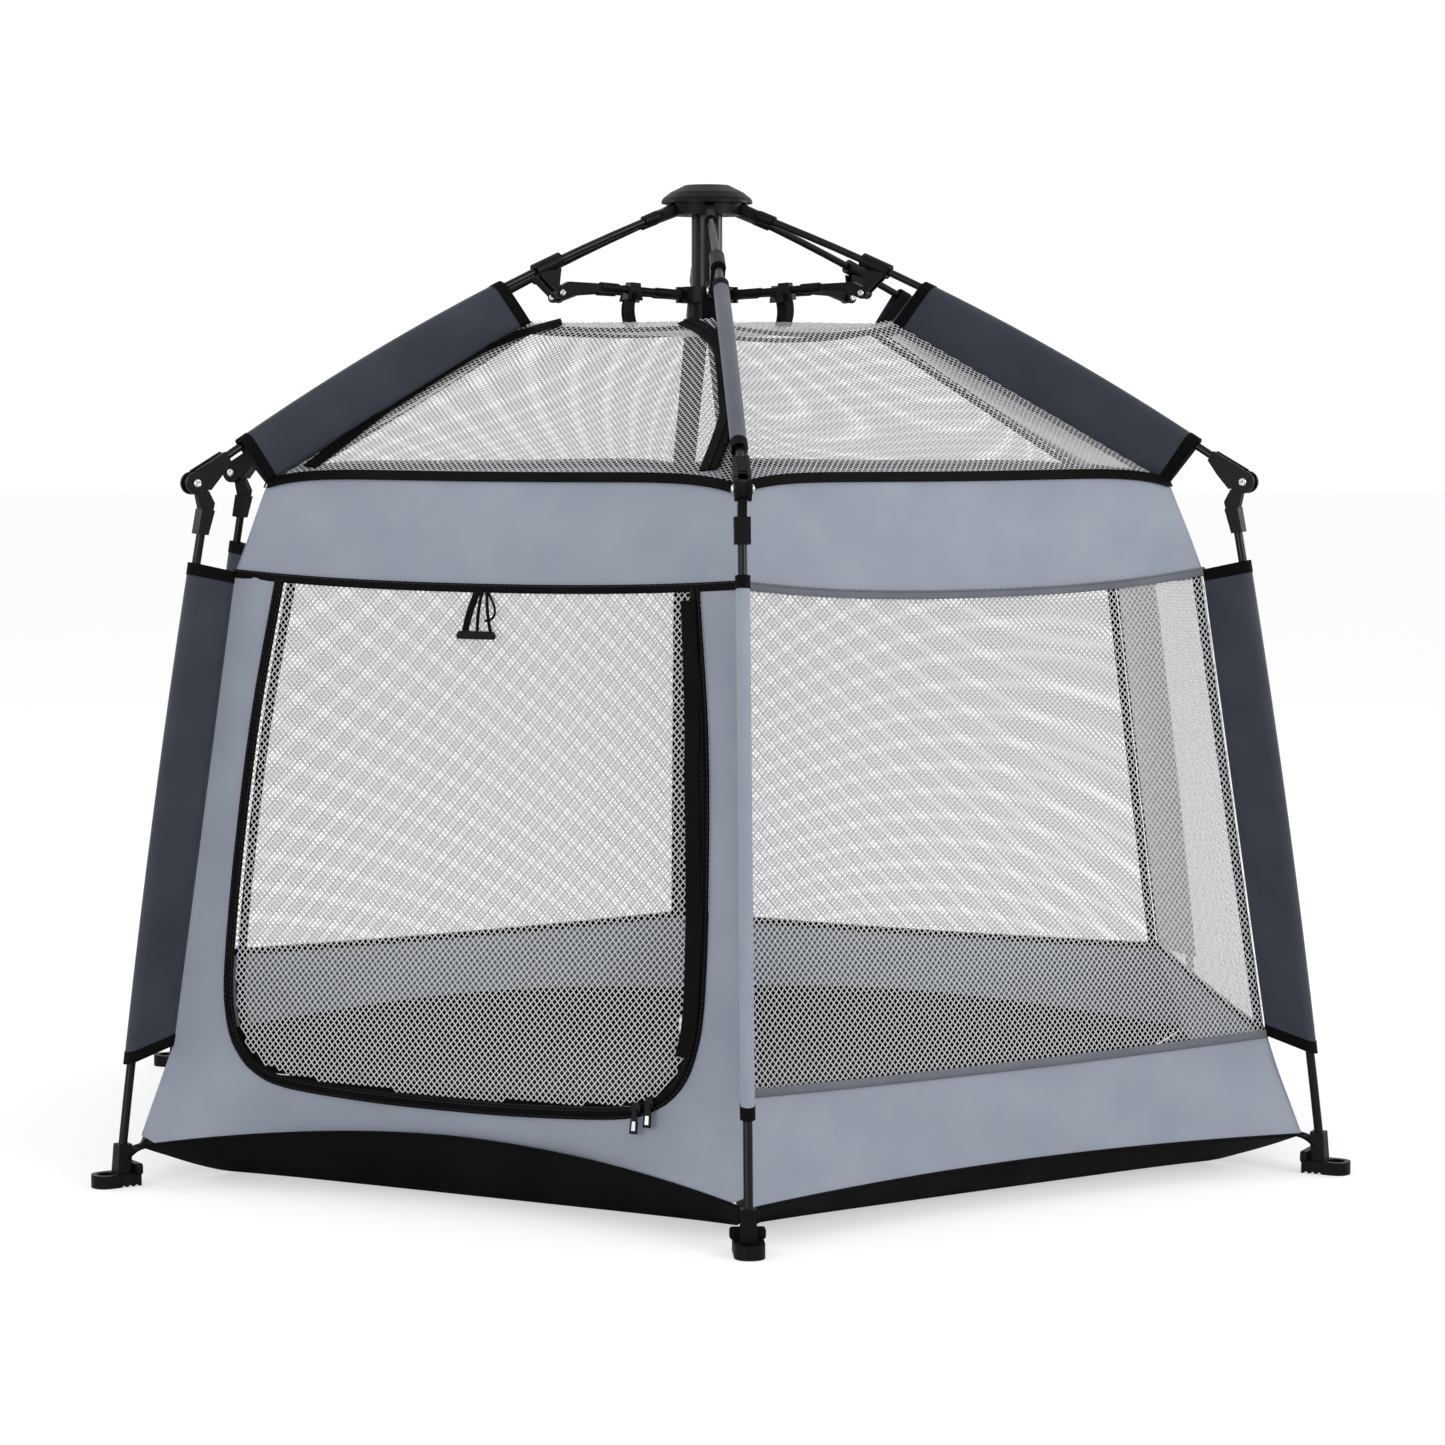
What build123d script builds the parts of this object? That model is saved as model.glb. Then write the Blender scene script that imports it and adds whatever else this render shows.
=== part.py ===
"""Hexagonal pop-up playpen: a folding umbrella frame with six legs and a netting tent hung inside it.

Millimetres. +Z is up and the floor is Z = 0. The origin lies on the floor, under the centre post. One
corner of the hexagon points along -Y and is called front. In a corner's own plane, R is the distance
from the post's axis, and every corner is the same profile turned by a sixth of a turn.
"""

import os
from math import asin, atan2, cos, degrees, hypot, radians, sin, sqrt

from build123d import *

# Overall frame: pivots in the plane of one corner, as (R, Z)
hub_top_z = 1021.0
hub_pivot_r, hub_pivot_z = 36.0, 996.0
elbow_r, elbow_z = 616.0, 705.0
foot_r = 706.0
saddle_at_r = 195.0
ear_pivot_r, ear_pivot_z = 188.0, 902.0
runner_pivot_r = 28.0
arm_bow = 19.0
leg_bow = 5.0
fold_angle = 56.0
leg_fold_angle = 221.0

# Rods, tubes and pins
arm_d = 8.0
strut_d = 8.0
leg_d = 9.0
post_d, post_wall = 33.6, 2.0
pin_d = 4.0
elbow_pin_d = 6.4
fit_gap = 0.05
running_gap = 0.3

# Hub, runner and end plug
cap_r, cap_h, cap_wall = 49.5, 20.0, 3.0
hub_r, hub_h = 44.0, 14.5
tongue_w, tongue_gap = 9.0, 0.3
runner_collar_r, runner_collar_h = 21.5, 17.0
runner_ring_r, runner_ring_h = 34.0, 17.0
plug_flange_r, plug_flange_h = 19.0, 3.0

# Arm and strut fittings
hub_socket_len, hub_socket_d = 48.0, 13.0
saddle_len, saddle_d = 34.0, 16.0
ear_w, ear_plate = 15.0, 3.2
strut_lug_r = 6.0
strut_socket_d = 10.0
clip_at, clip_w = 67.0, 20.0

# Elbow blocks
block_w, cheek = 16.0, 3.5
nose_r = 11.5

# Feet
foot_h = 13.0
foot_w = 29.0
foot_in, foot_out = 17.0, 30.0
foot_socket_h, foot_socket_w = 29.0, 14.5
stake_hole_r = 9.0
strap_bar_w = 34.0
tooth = 4.0

# Cloth
cloth = 2.0
sew_gap = 0.6
band_gap = 2.5
fin_t = 3.0
leg_fin_w = 44.5
fin_drop_r, fin_drop_z = 30.0, 38.0
roof_fin_r0, roof_fin_r1 = 245.0, 561.0
leg_fin_z0, leg_fin_z1 = 137.0, 615.0
tip_z, tip_in = 41.0, 21.0
floor_r = 580.0
hem_mid_z = 62.0
hem_mid_in = 3.0
top_sag = 16.0
strap_t = 2.0

# Door in one side panel, and the zipped flap in the roof panel above it
door_top_half, door_low_half = 234.0, 264.0
door_low_z, door_corner = 107.0, 78.0
door_top_drop = 8.0
tape_w, tape_t = 11.0, 1.6
flap_low_half, flap_top_half = 226.0, 72.0
flap_low_z = 722.0
slider_w, slider_h, slider_t = 8.0, 12.0, 5.0
slider_out = 3.5
pull_w, pull_h, pull_t = 6.0, 22.0, 1.6
slider_s = (211.0, 226.0)
toggle_w, toggle_h, toggle_t = 40.0, 8.0, 5.0
toggle_z, toggle_s = 560.0, 4.0

corner_names = ("front", "front_right", "back_right", "back", "back_left", "front_left")
sides = range(6)
door_side = 5
cos30 = cos(radians(30))
radial = Plane(origin=(0, 0, 0), x_dir=(0, -1, 0), z_dir=(-1, 0, 0))


# ---- Positions worked out from the sizes above -------------------------------------------------
def bowed(start, end, bow, t):
    """A point (R, Z) at share t of the chord of a shallow arc that bows up and outwards."""
    dr, dz = end[0] - start[0], end[1] - start[1]
    length = hypot(dr, dz)
    radius = (length**2 / 4 + bow**2) / (2 * bow)
    lift = sqrt(radius**2 - ((t - 0.5) * length) ** 2) - (radius - bow)
    nr, nz = -dz / length, dr / length
    return start[0] + dr * t + nr * lift, start[1] + dz * t + nz * lift


elbow_out = 2.8
arm_slope = atan2(hub_pivot_z - elbow_z, elbow_r - hub_pivot_r)
arm_start = (hub_pivot_r, hub_pivot_z)
arm_end = (elbow_r + elbow_out * sin(arm_slope), elbow_z + elbow_out * cos(arm_slope))
arm_len = hypot(arm_end[0] - arm_start[0], arm_end[1] - arm_start[1])
arm_turn = 4 * arm_bow / arm_len
end_slope = arm_slope + arm_turn
start_slope = arm_slope - arm_turn
leg_out = 14.3
knee_len = 50.0
leg_lean = atan2(foot_r - elbow_r + leg_out, elbow_z)
leg_dir = (sin(leg_lean), -cos(leg_lean))
leg_side = (cos(leg_lean), sin(leg_lean))
leg_top = (
    elbow_r + knee_len * leg_dir[0] - leg_out * leg_side[0],
    elbow_z + knee_len * leg_dir[1] - leg_out * leg_side[1],
)
leg_foot = (foot_r, foot_h + 1.0)
runner_pivot_z = ear_pivot_z
strut_len = ear_pivot_r - runner_pivot_r
ear_arm = hypot(ear_pivot_r - hub_pivot_r, hub_pivot_z - ear_pivot_z)
ear_angle = atan2(hub_pivot_z - ear_pivot_z, ear_pivot_r - hub_pivot_r)
folded_ear = (
    hub_pivot_r + ear_arm * cos(ear_angle + radians(fold_angle)),
    hub_pivot_z - ear_arm * sin(ear_angle + radians(fold_angle)),
)
folded_runner_z = folded_ear[1] + sqrt(strut_len**2 - (folded_ear[0] - runner_pivot_r) ** 2)
runner_travel = folded_runner_z - runner_pivot_z
strut_fold_angle = degrees(atan2(folded_runner_z - folded_ear[1], folded_ear[0] - runner_pivot_r))


def arm_at(r):
    """Point on the arm's axis at distance r from the post."""
    return bowed(arm_start, arm_end, arm_bow, (r - arm_start[0]) / (arm_end[0] - arm_start[0]))


def leg_at(z):
    """Distance from the post of the leg's axis at height z."""
    t = (leg_top[1] - z) / (leg_top[1] - leg_foot[1])
    return bowed(leg_top, leg_foot, leg_bow, t)[0]


# Seam corners of the tent, as (R, Z): roof top, roof foot, sleeve top, sleeve foot, floor tip
roof_top = (arm_at(roof_fin_r0)[0] - fin_drop_r, arm_at(roof_fin_r0)[1] - fin_drop_z)
roof_foot = (arm_at(roof_fin_r1)[0] - fin_drop_r, arm_at(roof_fin_r1)[1] - fin_drop_z)
wall_top = (leg_at(leg_fin_z1) - leg_fin_w, leg_fin_z1)
wall_foot = (leg_at(leg_fin_z0) - leg_fin_w, leg_fin_z0)
floor_tip = (foot_r - tip_in, tip_z)


# ---- Shapes ------------------------------------------------------------------------------------
def at_corner(shape, corner):
    """Turns a shape made in the front corner's plane to its own corner."""
    return Rot(0, 0, 60 * corner) * shape


def profile(points, width, middle=0.0):
    """A plate cut to (R, Z) points in the corner plane, its thickness across that plane."""
    face = radial * Polygon(*points, align=None)
    return Pos(middle, 0, 0) * extrude(face, amount=width / 2, both=True)


def disc(center, radius, width, middle=0.0):
    """A round plate about an axis that crosses the corner plane at (R, Z)."""
    face = radial * (Pos(center[0], center[1]) * Circle(radius))
    return Pos(middle, 0, 0) * extrude(face, amount=width / 2, both=True)


def rod(start, end, bow, diameter, t0=0.0, t1=1.0):
    """A round rod on a shallow arc between shares t0 and t1 of its chord."""
    a, m, b = (bowed(start, end, bow, t) for t in (t0, (t0 + t1) / 2, t1))
    path = ThreePointArc(*(radial.from_local_coords(Vector(*p, 0)) for p in (a, m, b)))
    return sweep(Plane(origin=path @ 0, z_dir=path % 0) * Circle(diameter / 2), path=path)


def straight(a, b, r0, r1):
    """A round cone or cylinder between two (R, Z) points of the corner plane."""
    p, q = (radial.from_local_coords(Vector(*c, 0)) for c in (a, b))
    base = Plane(origin=p, z_dir=q - p)
    if abs(r0 - r1) < 1e-6:
        return extrude(base * Circle(r0), amount=(q - p).length)
    return loft([base * Circle(r0), base.offset((q - p).length) * Circle(r1)])


def along(origin, direction, side, u, v):
    """A point u along one direction and v along the other, from an origin, all in (R, Z)."""
    return origin[0] + u * direction[0] + v * side[0], origin[1] + u * direction[1] + v * side[1]


def side_point(side, s, apothem, z):
    """A point on a side: s along it from its middle, at a distance from the post's axis."""
    a = radians(60 * side + 30)
    return Vector(apothem * sin(a) + s * cos(a), -apothem * cos(a) + s * sin(a), z)


def corner_point(corner, seam):
    """A tent seam corner (R, Z) in space, at a numbered corner of the hexagon."""
    a = radians(60 * corner)
    return Vector(seam[0] * sin(a), -seam[0] * cos(a), seam[1])


def inset(points, gap):
    """Moves each edge of a flat convex outline in by gap, so that sewn pieces only nearly meet."""
    middle = sum(points, Vector(0, 0, 0)) / len(points)
    normal = (points[1] - points[0]).cross(points[2] - points[0]).normalized()
    moved = []
    for i, here in enumerate(points):
        back = (here - points[i - 1]).normalized()
        ahead = (points[(i + 1) % len(points)] - here).normalized()
        in_a, in_b = normal.cross(back), normal.cross(ahead)
        if in_a.dot(middle - here) < 0:
            in_a, in_b = in_a * -1, in_b * -1
        share = gap / (1 + in_a.dot(in_b))
        moved.append(here + (in_a + in_b) * share)
    return moved


def panel(points, thickness=cloth, gap=sew_gap):
    """A flat piece of cloth: the outline is its outer face, and its thickness goes inwards."""
    points = inset(points, gap)
    normal = (points[1] - points[0]).cross(points[2] - points[0]).normalized()
    middle = sum(points, Vector(0, 0, 0)) / len(points)
    if normal.dot(Vector(middle.X, middle.Y, middle.Z - 300)) > 0:
        normal = normal * -1
    face = Face(Wire.make_polygon(points, close=True))
    return extrude(face, amount=thickness, dir=normal)


def save(name, *shapes):
    """Writes one sub-part, with all its solids, to its own STEP file."""
    solids = [s for shape in shapes for s in shape.solids()]
    export_step(Compound(label=name, children=solids), f"parts/{name}.step")


os.makedirs("parts", exist_ok=True)

# ---- Hub, post and runner ----------------------------------------------------------------------
hub_low = hub_pivot_z - hub_h / 2 - 0.25
hub_high = hub_low + hub_h
rim = hub_top_z - cap_h
with BuildPart() as cap_build:
    with BuildSketch(Plane.XZ):
        Polygon(
            (0, hub_top_z),
            (24, hub_top_z),
            (40, hub_top_z - 8),
            (cap_r - 2, rim + 6),
            (cap_r, rim + 3),
            (cap_r, rim),
            (cap_r - cap_wall, rim),
            (cap_r - cap_wall, rim + 2.5),
            (38, hub_top_z - 8 - cap_wall),
            (23, hub_top_z - cap_wall),
            (0, hub_top_z - cap_wall),
            align=None,
        )
    revolve(axis=Axis.Z)
save("hub_cap", cap_build.part)

post_r = post_d / 2
post_top = hub_high - 3
slot_start = post_r + 5.0
hub = Pos(0, 0, (hub_low + hub_high) / 2) * Cylinder(hub_r, hub_h)
hub += Pos(0, 0, (hub_high + hub_top_z - cap_wall) / 2) * Cylinder(12, hub_top_z - cap_wall - hub_high)
hub -= Pos(0, 0, (hub_low + post_top) / 2) * Cylinder(post_r + fit_gap, post_top - hub_low)
for k in sides:
    slot = Box(tongue_w + 2 * tongue_gap, hub_r, hub_h + 2)
    hub -= at_corner(Pos(0, -slot_start - hub_r / 2, (hub_low + hub_high) / 2) * slot, k)
    hub -= at_corner(disc(arm_start, pin_d / 2 + fit_gap, 17.0), k)
save("hub_body", hub)

collar_low = runner_pivot_z - runner_ring_h / 2 + 0.5 - runner_collar_h
ring_low = collar_low + runner_collar_h
post_low = collar_low - 6.0
post = Pos(0, 0, (post_low + post_top) / 2) * Cylinder(post_r, post_top - post_low)
post -= Pos(0, 0, (post_low + post_top) / 2) * Cylinder(post_r - post_wall, post_top - post_low)
save("centre_post", post)

plug = Pos(0, 0, post_low - plug_flange_h / 2) * Cylinder(plug_flange_r, plug_flange_h)
plug += Pos(0, 0, post_low + 5) * Cylinder(post_r - post_wall - fit_gap, 10)
save("post_end_plug", fillet(plug.edges().sort_by(Axis.Z)[0], 1.2))

runner = Pos(0, 0, collar_low + runner_collar_h / 2) * Cylinder(runner_collar_r, runner_collar_h)
runner += Pos(0, 0, ring_low + runner_ring_h / 2) * Cylinder(runner_ring_r, runner_ring_h)
runner -= Pos(0, 0, ring_low) * Cylinder(post_r + running_gap, 3 * runner_ring_h)
runner_pivot = (runner_pivot_r, runner_pivot_z)
lug_w = tongue_w - 1.0
for k in sides:
    slot = Box(lug_w + 2 * tongue_gap, runner_ring_r, runner_ring_h + 0.2)
    slot_in = runner_pivot_r - strut_lug_r - tongue_gap
    runner -= at_corner(Pos(0, -slot_in - runner_ring_r / 2, ring_low + runner_ring_h / 2 + 0.1) * slot, k)
    runner -= at_corner(disc(runner_pivot, pin_d / 2 + fit_gap, 15.0), k)
    runner -= at_corner(Pos(0, -36.5, ring_low + runner_ring_h) * Box(tongue_w + 1.4, 11, 9.4), k)
save("runner", runner)


# ---- One roof arm: rod, hub socket, saddle with its ear, elbow block and pins -------------------
toward_hub = (-cos(end_slope), sin(end_slope))
arm_up = (sin(end_slope), cos(end_slope))
elbow = (elbow_r, elbow_z)


def arm_block():
    """The elbow's upper block: a web round the rod between two cheeks that hold the pin."""
    block_len = 44.0
    low_end = along(elbow, toward_hub, arm_up, block_len, -2.5)
    belly = along(elbow, toward_hub, arm_up, 28, -9.0)
    notch = (elbow_r - 15.4, elbow_z - 7.2)
    web_top = elbow_out + arm_d / 2 + 1.0
    web = profile(
        [
            along(elbow, toward_hub, arm_up, block_len, web_top),
            low_end,
            belly,
            notch,
            elbow,
            along(elbow, toward_hub, arm_up, 4, web_top),
        ],
        block_w - 2 * cheek,
    )
    web -= disc(elbow, 10.2, block_w)
    knee_room = [(-2, 2.6), (15.4, 2.6), (15.4, 7.2), (19, 7.2), (19, 14), (-2, 14)]
    web -= profile([along(elbow, toward_hub, arm_up, a, b) for a, b in knee_room], block_w)
    plate = [
        along(elbow, toward_hub, arm_up, block_len, web_top + 0.8),
        low_end,
        belly,
        notch,
        elbow,
        along(elbow, toward_hub, arm_up, 6, nose_r - 0.3),
    ]
    block = web
    for x in (-1, 1):
        middle = x * (block_w - cheek) / 2
        block += profile(plate, cheek, middle) + disc(elbow, nose_r, cheek, middle)
    return block - disc(elbow, elbow_pin_d / 2 + 0.01, block_w)


def hub_socket():
    """Flat tongue on the hub pin that swells into a round socket for the rod."""
    out = (cos(start_slope), -sin(start_slope))
    mouth = along(arm_start, out, (0, 0), hub_socket_len, 0)
    neck = along(arm_start, out, (0, 0), 24.0, 0)
    tip = along(arm_start, out, (0, 0), 30.0, 0)
    tongue = disc(arm_start, 6.5, tongue_w)
    up = (-out[1], out[0])
    tongue += profile(
        [
            along(arm_start, out, up, 0, 6.4),
            along(arm_start, out, up, 0, -6.4),
            along(arm_start, out, up, 30, -5.2),
            along(arm_start, out, up, 30, 5.2),
        ],
        tongue_w,
    )
    body = straight(neck, tip, 5.2, hub_socket_d / 2) + straight(tip, mouth, hub_socket_d / 2, 6.0)
    return tongue + body - disc(arm_start, pin_d / 2 + 0.01, tongue_w + 2)


def saddle():
    """Clamp on the rod with two ear plates that carry the strut's pivot in an open fork."""
    middle = arm_at(saddle_at_r)
    slope = start_slope + (end_slope - start_slope) * (saddle_at_r - hub_pivot_r) / arm_len
    out = (cos(slope), -sin(slope))
    a = along(middle, out, (0, 0), -saddle_len / 2, 0)
    b = along(middle, out, (0, 0), saddle_len / 2, 0)
    body = straight(a, b, saddle_d / 2, saddle_d / 2)
    ear = (ear_pivot_r, ear_pivot_z)
    plate = [
        (middle[0] - 13, middle[1] - 3),
        (middle[0] + 14, middle[1] - 8),
        (ear[0] + 6, ear[1] + 1),
        (ear[0] - 5.5, ear[1] + 3),
        (middle[0] - 11, middle[1] - 20),
    ]
    for x in (-1, 1):
        shift = x * (ear_w - ear_plate) / 2
        body += profile(plate, ear_plate, shift) + disc(ear, 6.0, ear_plate, shift)
    return body


arm_rod = rod(arm_start, arm_end, arm_bow, arm_d, 19.0 / arm_len, 1 - 16.0 / arm_len)
arm_bore = rod(arm_start, arm_end, arm_bow, arm_d + 2 * 0.01, 0.02, 1 - 15.0 / arm_len)
ear_pivot = (ear_pivot_r, ear_pivot_z)
arm_parts = [hub_socket() - arm_bore, saddle() - arm_bore, arm_block() - arm_bore]
arm_parts.append(disc(arm_start, pin_d / 2, 16.5))
arm_parts.append(disc(elbow, elbow_pin_d / 2, block_w + 1.6))
rivet_l = ear_plate + 1.2
for x in (-1, 1):
    arm_parts.append(disc(ear_pivot, 3.0, 1.2, x * (ear_w / 2 + 0.6)))

fin_gap = arm_d / 2 + 0.6
roof_fin = profile(
    [
        along(arm_at(roof_fin_r0), (0, 1), (1, 0), -fin_gap / cos(start_slope), 0),
        along(arm_at((roof_fin_r0 + roof_fin_r1) / 2), (0, 1), (1, 0), -fin_gap / cos(arm_slope), 0),
        along(arm_at(roof_fin_r1), (0, 1), (1, 0), -fin_gap / cos(end_slope), 0),
        (roof_foot[0] + 1, roof_foot[1] + 2.5),
        (roof_top[0] + 1, roof_top[1] + 2.5),
    ],
    fin_t,
)


# ---- One leg: rod, knee block, foot and sleeve ---------------------------------------------------
def knee_block():
    """The elbow's lower block: a tongue on the pin and a wider socket for the leg rod."""
    shoulder = 24.5
    tongue = profile(
        [
            (elbow_r, elbow_z),
            (elbow_r - 14.8, elbow_z - 8.0),
            along(elbow, leg_dir, leg_side, 17, -24),
            along(elbow, leg_dir, leg_side, shoulder + 1, -23.3),
            along(elbow, leg_dir, leg_side, shoulder + 1, -9.2),
            along(elbow, leg_dir, leg_side, 6, -2),
        ],
        block_w - 2 * cheek - 2 * tongue_gap,
    )
    tongue += disc(elbow, 9.2, block_w - 2 * cheek - 2 * tongue_gap)
    body = profile(
        [
            along(elbow, leg_dir, leg_side, shoulder, -23.4),
            along(elbow, leg_dir, leg_side, knee_len, -19.5),
            along(elbow, leg_dir, leg_side, knee_len, -8.0),
            along(elbow, leg_dir, leg_side, shoulder, -9.0),
        ],
        block_w - 0.4,
    )
    return tongue + body - disc(elbow, elbow_pin_d / 2 + fit_gap, block_w)


def foot():
    """Tapered rod socket on a toothed base with a stake ring outside and a strap bar inside."""
    base_mid = (foot_out - foot_in) / 2
    base = Pos(0, -foot_r - base_mid, foot_h / 2) * Box(foot_w, foot_in + foot_out, foot_h)
    base = fillet(base.edges().filter_by(Axis.Z).sort_by(Axis.Y)[:2], foot_w / 2 - 1.0)
    base -= Pos(0, -foot_r - foot_out + foot_w / 2, foot_h / 2) * Cylinder(stake_hole_r, foot_h)
    for i in range(3):
        notch = radial * (Pos(foot_r - foot_in + 5 + 7 * i, 0) * Rot(0, 0, 45) * Rectangle(tooth, tooth))
        base -= extrude(notch, amount=foot_w, both=True)
    hole_edge = foot_r + foot_out - foot_w / 2 - stake_hole_r
    socket_low = Plane.XY.offset(foot_h - 1) * Pos(0, -hole_edge + 8.0) * Rectangle(foot_socket_w + 1.5, 15)
    socket_high = Plane.XY.offset(foot_h + foot_socket_h)
    socket_high = socket_high * Pos(0, -leg_at(foot_h + foot_socket_h)) * Rectangle(foot_socket_w, 14)
    socket = loft([socket_low.face(), socket_high.face()])
    bar = Pos(0, -foot_r + foot_in - 3, foot_h + 4) * Box(strap_bar_w, 7, 11)
    bar = fillet(bar.edges().filter_by(Axis.Y), 3.0)
    return base + socket + bar


leg_chord = hypot(leg_foot[0] - leg_top[0], leg_foot[1] - leg_top[1])
leg_rod = rod(leg_top, leg_foot, leg_bow, leg_d, -20.0 / leg_chord, 1.0)
leg_bore = rod(leg_top, leg_foot, leg_bow, leg_d + 0.02, -20.5 / leg_chord, 1.0)
leg_parts = [knee_block() - leg_bore, foot() - leg_bore]
leg_fin_gap = leg_d / 2 + 0.6
leg_fin = profile(
    [
        (leg_at(leg_fin_z1) - leg_fin_gap, leg_fin_z1),
        (leg_at((leg_fin_z0 + leg_fin_z1) / 2) - leg_fin_gap, (leg_fin_z0 + leg_fin_z1) / 2),
        (leg_at(leg_fin_z0) - leg_fin_gap, leg_fin_z0),
        (wall_foot[0] + 1.5, wall_foot[1]),
        (wall_top[0] + 1.5, wall_top[1]),
    ],
    fin_t,
)


# ---- One strut: rod with a runner lug, an ear fitting and the strap clip -------------------------
def strut_parts():
    """The runner lug, the offset outer fitting, the rod between them, the clip and the pin."""
    rise = 8.5
    inner = (runner_pivot_r + 8, runner_pivot_z + 0.8)
    outer = (ear_pivot_r - 30, ear_pivot_z + rise)
    span = (outer[0] - inner[0], outer[1] - inner[1])
    length = hypot(*span)
    out = (span[0] / length, span[1] / length)
    up = (-out[1], out[0])
    lug = disc(runner_pivot, strut_lug_r, lug_w)
    lug += profile(
        [
            (runner_pivot_r, runner_pivot_z + 5.6),
            (runner_pivot_r, runner_pivot_z - 5.6),
            along(inner, out, up, 14, -4.6),
            along(inner, out, up, 14, 4.6),
        ],
        lug_w,
    )
    socket_a, socket_b = along(inner, out, up, 12, 0), along(inner, out, up, 30, 0)
    lug += straight(socket_a, socket_b, strut_socket_d / 2, strut_socket_d / 2)
    blade_w = ear_w - 2 * ear_plate - 2 * 0.5
    blade = profile(
        [
            along(inner, out, up, length - 24, 3.7),
            (ear_pivot_r - 12, ear_pivot_z + 12.2),
            (ear_pivot_r + 3, ear_pivot_z + 5.2),
            (ear_pivot_r - 3, ear_pivot_z - 5.2),
            (ear_pivot_r - 25, ear_pivot_z + 2),
            along(inner, out, up, length - 24, -3.7),
        ],
        blade_w,
    )
    blade += disc(ear_pivot, 5.6, blade_w)
    blade += straight(along(inner, out, up, length - 44, 0), along(inner, out, up, length - 22, 0), 5.4, 5.4)
    blade -= disc(ear_pivot, 2.6, ear_w)
    tube_a, tube_b = along(inner, out, up, 16, 0), along(inner, out, up, length - 26, 0)
    tube = straight(tube_a, tube_b, strut_d / 2, strut_d / 2)
    bore = straight(tube_a, tube_b, strut_d / 2 + 0.01, strut_d / 2 + 0.01)
    clip_mid = along(inner, out, up, clip_at - inner[0] + runner_pivot_r, -2.7)
    a = along(clip_mid, out, up, -clip_w / 2, -8)
    b = along(clip_mid, out, up, clip_w / 2, -8)
    c = along(clip_mid, out, up, clip_w / 2 - 4, 10.5)
    d = along(clip_mid, out, up, 4 - clip_w / 2, 10.5)
    clip = profile([a, b, c, d], 11.0)
    pin = disc(runner_pivot, pin_d / 2, 14.5)
    return [lug - bore - disc(runner_pivot, pin_d / 2 + 0.01, 20), blade - bore, tube, clip - bore, pin]


strut = strut_parts()
for k, corner in enumerate(corner_names):
    save(f"roof_rod_{corner}", at_corner(arm_rod, k))
    save(f"roof_fittings_{corner}", *(at_corner(p, k) for p in arm_parts))
    save(f"roof_sleeve_{corner}", at_corner(roof_fin, k))
    save(f"leg_rod_{corner}", at_corner(leg_rod, k))
    save(f"leg_fittings_{corner}", *(at_corner(p, k) for p in leg_parts))
    save(f"leg_sleeve_{corner}", at_corner(leg_fin, k))
    save(f"strut_{corner}", *(at_corner(p, k) for p in strut))


# ---- Tent: floor tray, walls, roof ---------------------------------------------------------------
def seam_apothem(z):
    """Distance from the post's axis to the middle of a wall at height z, on its straight part."""
    t = (z - wall_foot[1]) / (wall_top[1] - wall_foot[1])
    return cos30 * (wall_foot[0] + t * (wall_top[0] - wall_foot[0]))


door_top_z = leg_fin_z1 - door_top_drop


def wall_at(s, z, out=0.0):
    """A point on the door side's wall plane, at s along it and height z, moved out by a gap."""
    return side_point(door_side, s, seam_apothem(z) + out, z)


wall_plane = Plane(
    origin=wall_at(0, 0, 0),
    x_dir=wall_at(1, 0) - wall_at(0, 0),
    z_dir=(wall_at(1, 0) - wall_at(0, 0)).cross(wall_at(0, 1) - wall_at(0, 0)),
)
stretch = (wall_at(0, 1) - wall_at(0, 0)).length


def door_outline(grow):
    """The door's outline, wider than the netting by grow: straight top, rounded lower corners."""
    low, top = (door_low_z - grow) * stretch, (door_top_z + min(grow, 3)) * stretch
    a, b, c = door_low_half + grow, door_top_half + grow, door_corner + grow
    with BuildSketch() as outline:
        with BuildLine():
            Polyline((b, top), (a, low + 0.38 * (top - low)), (a, low + c))
            RadiusArc((a, low + c), (a - c, low), c)
            Line((a - c, low), (c - a, low))
            RadiusArc((c - a, low), (-a, low + c), c)
            Polyline((-a, low + c), (-a, low + 0.38 * (top - low)), (-b, top), (b, top))
        make_face()
    return wall_plane * outline.sketch


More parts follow.
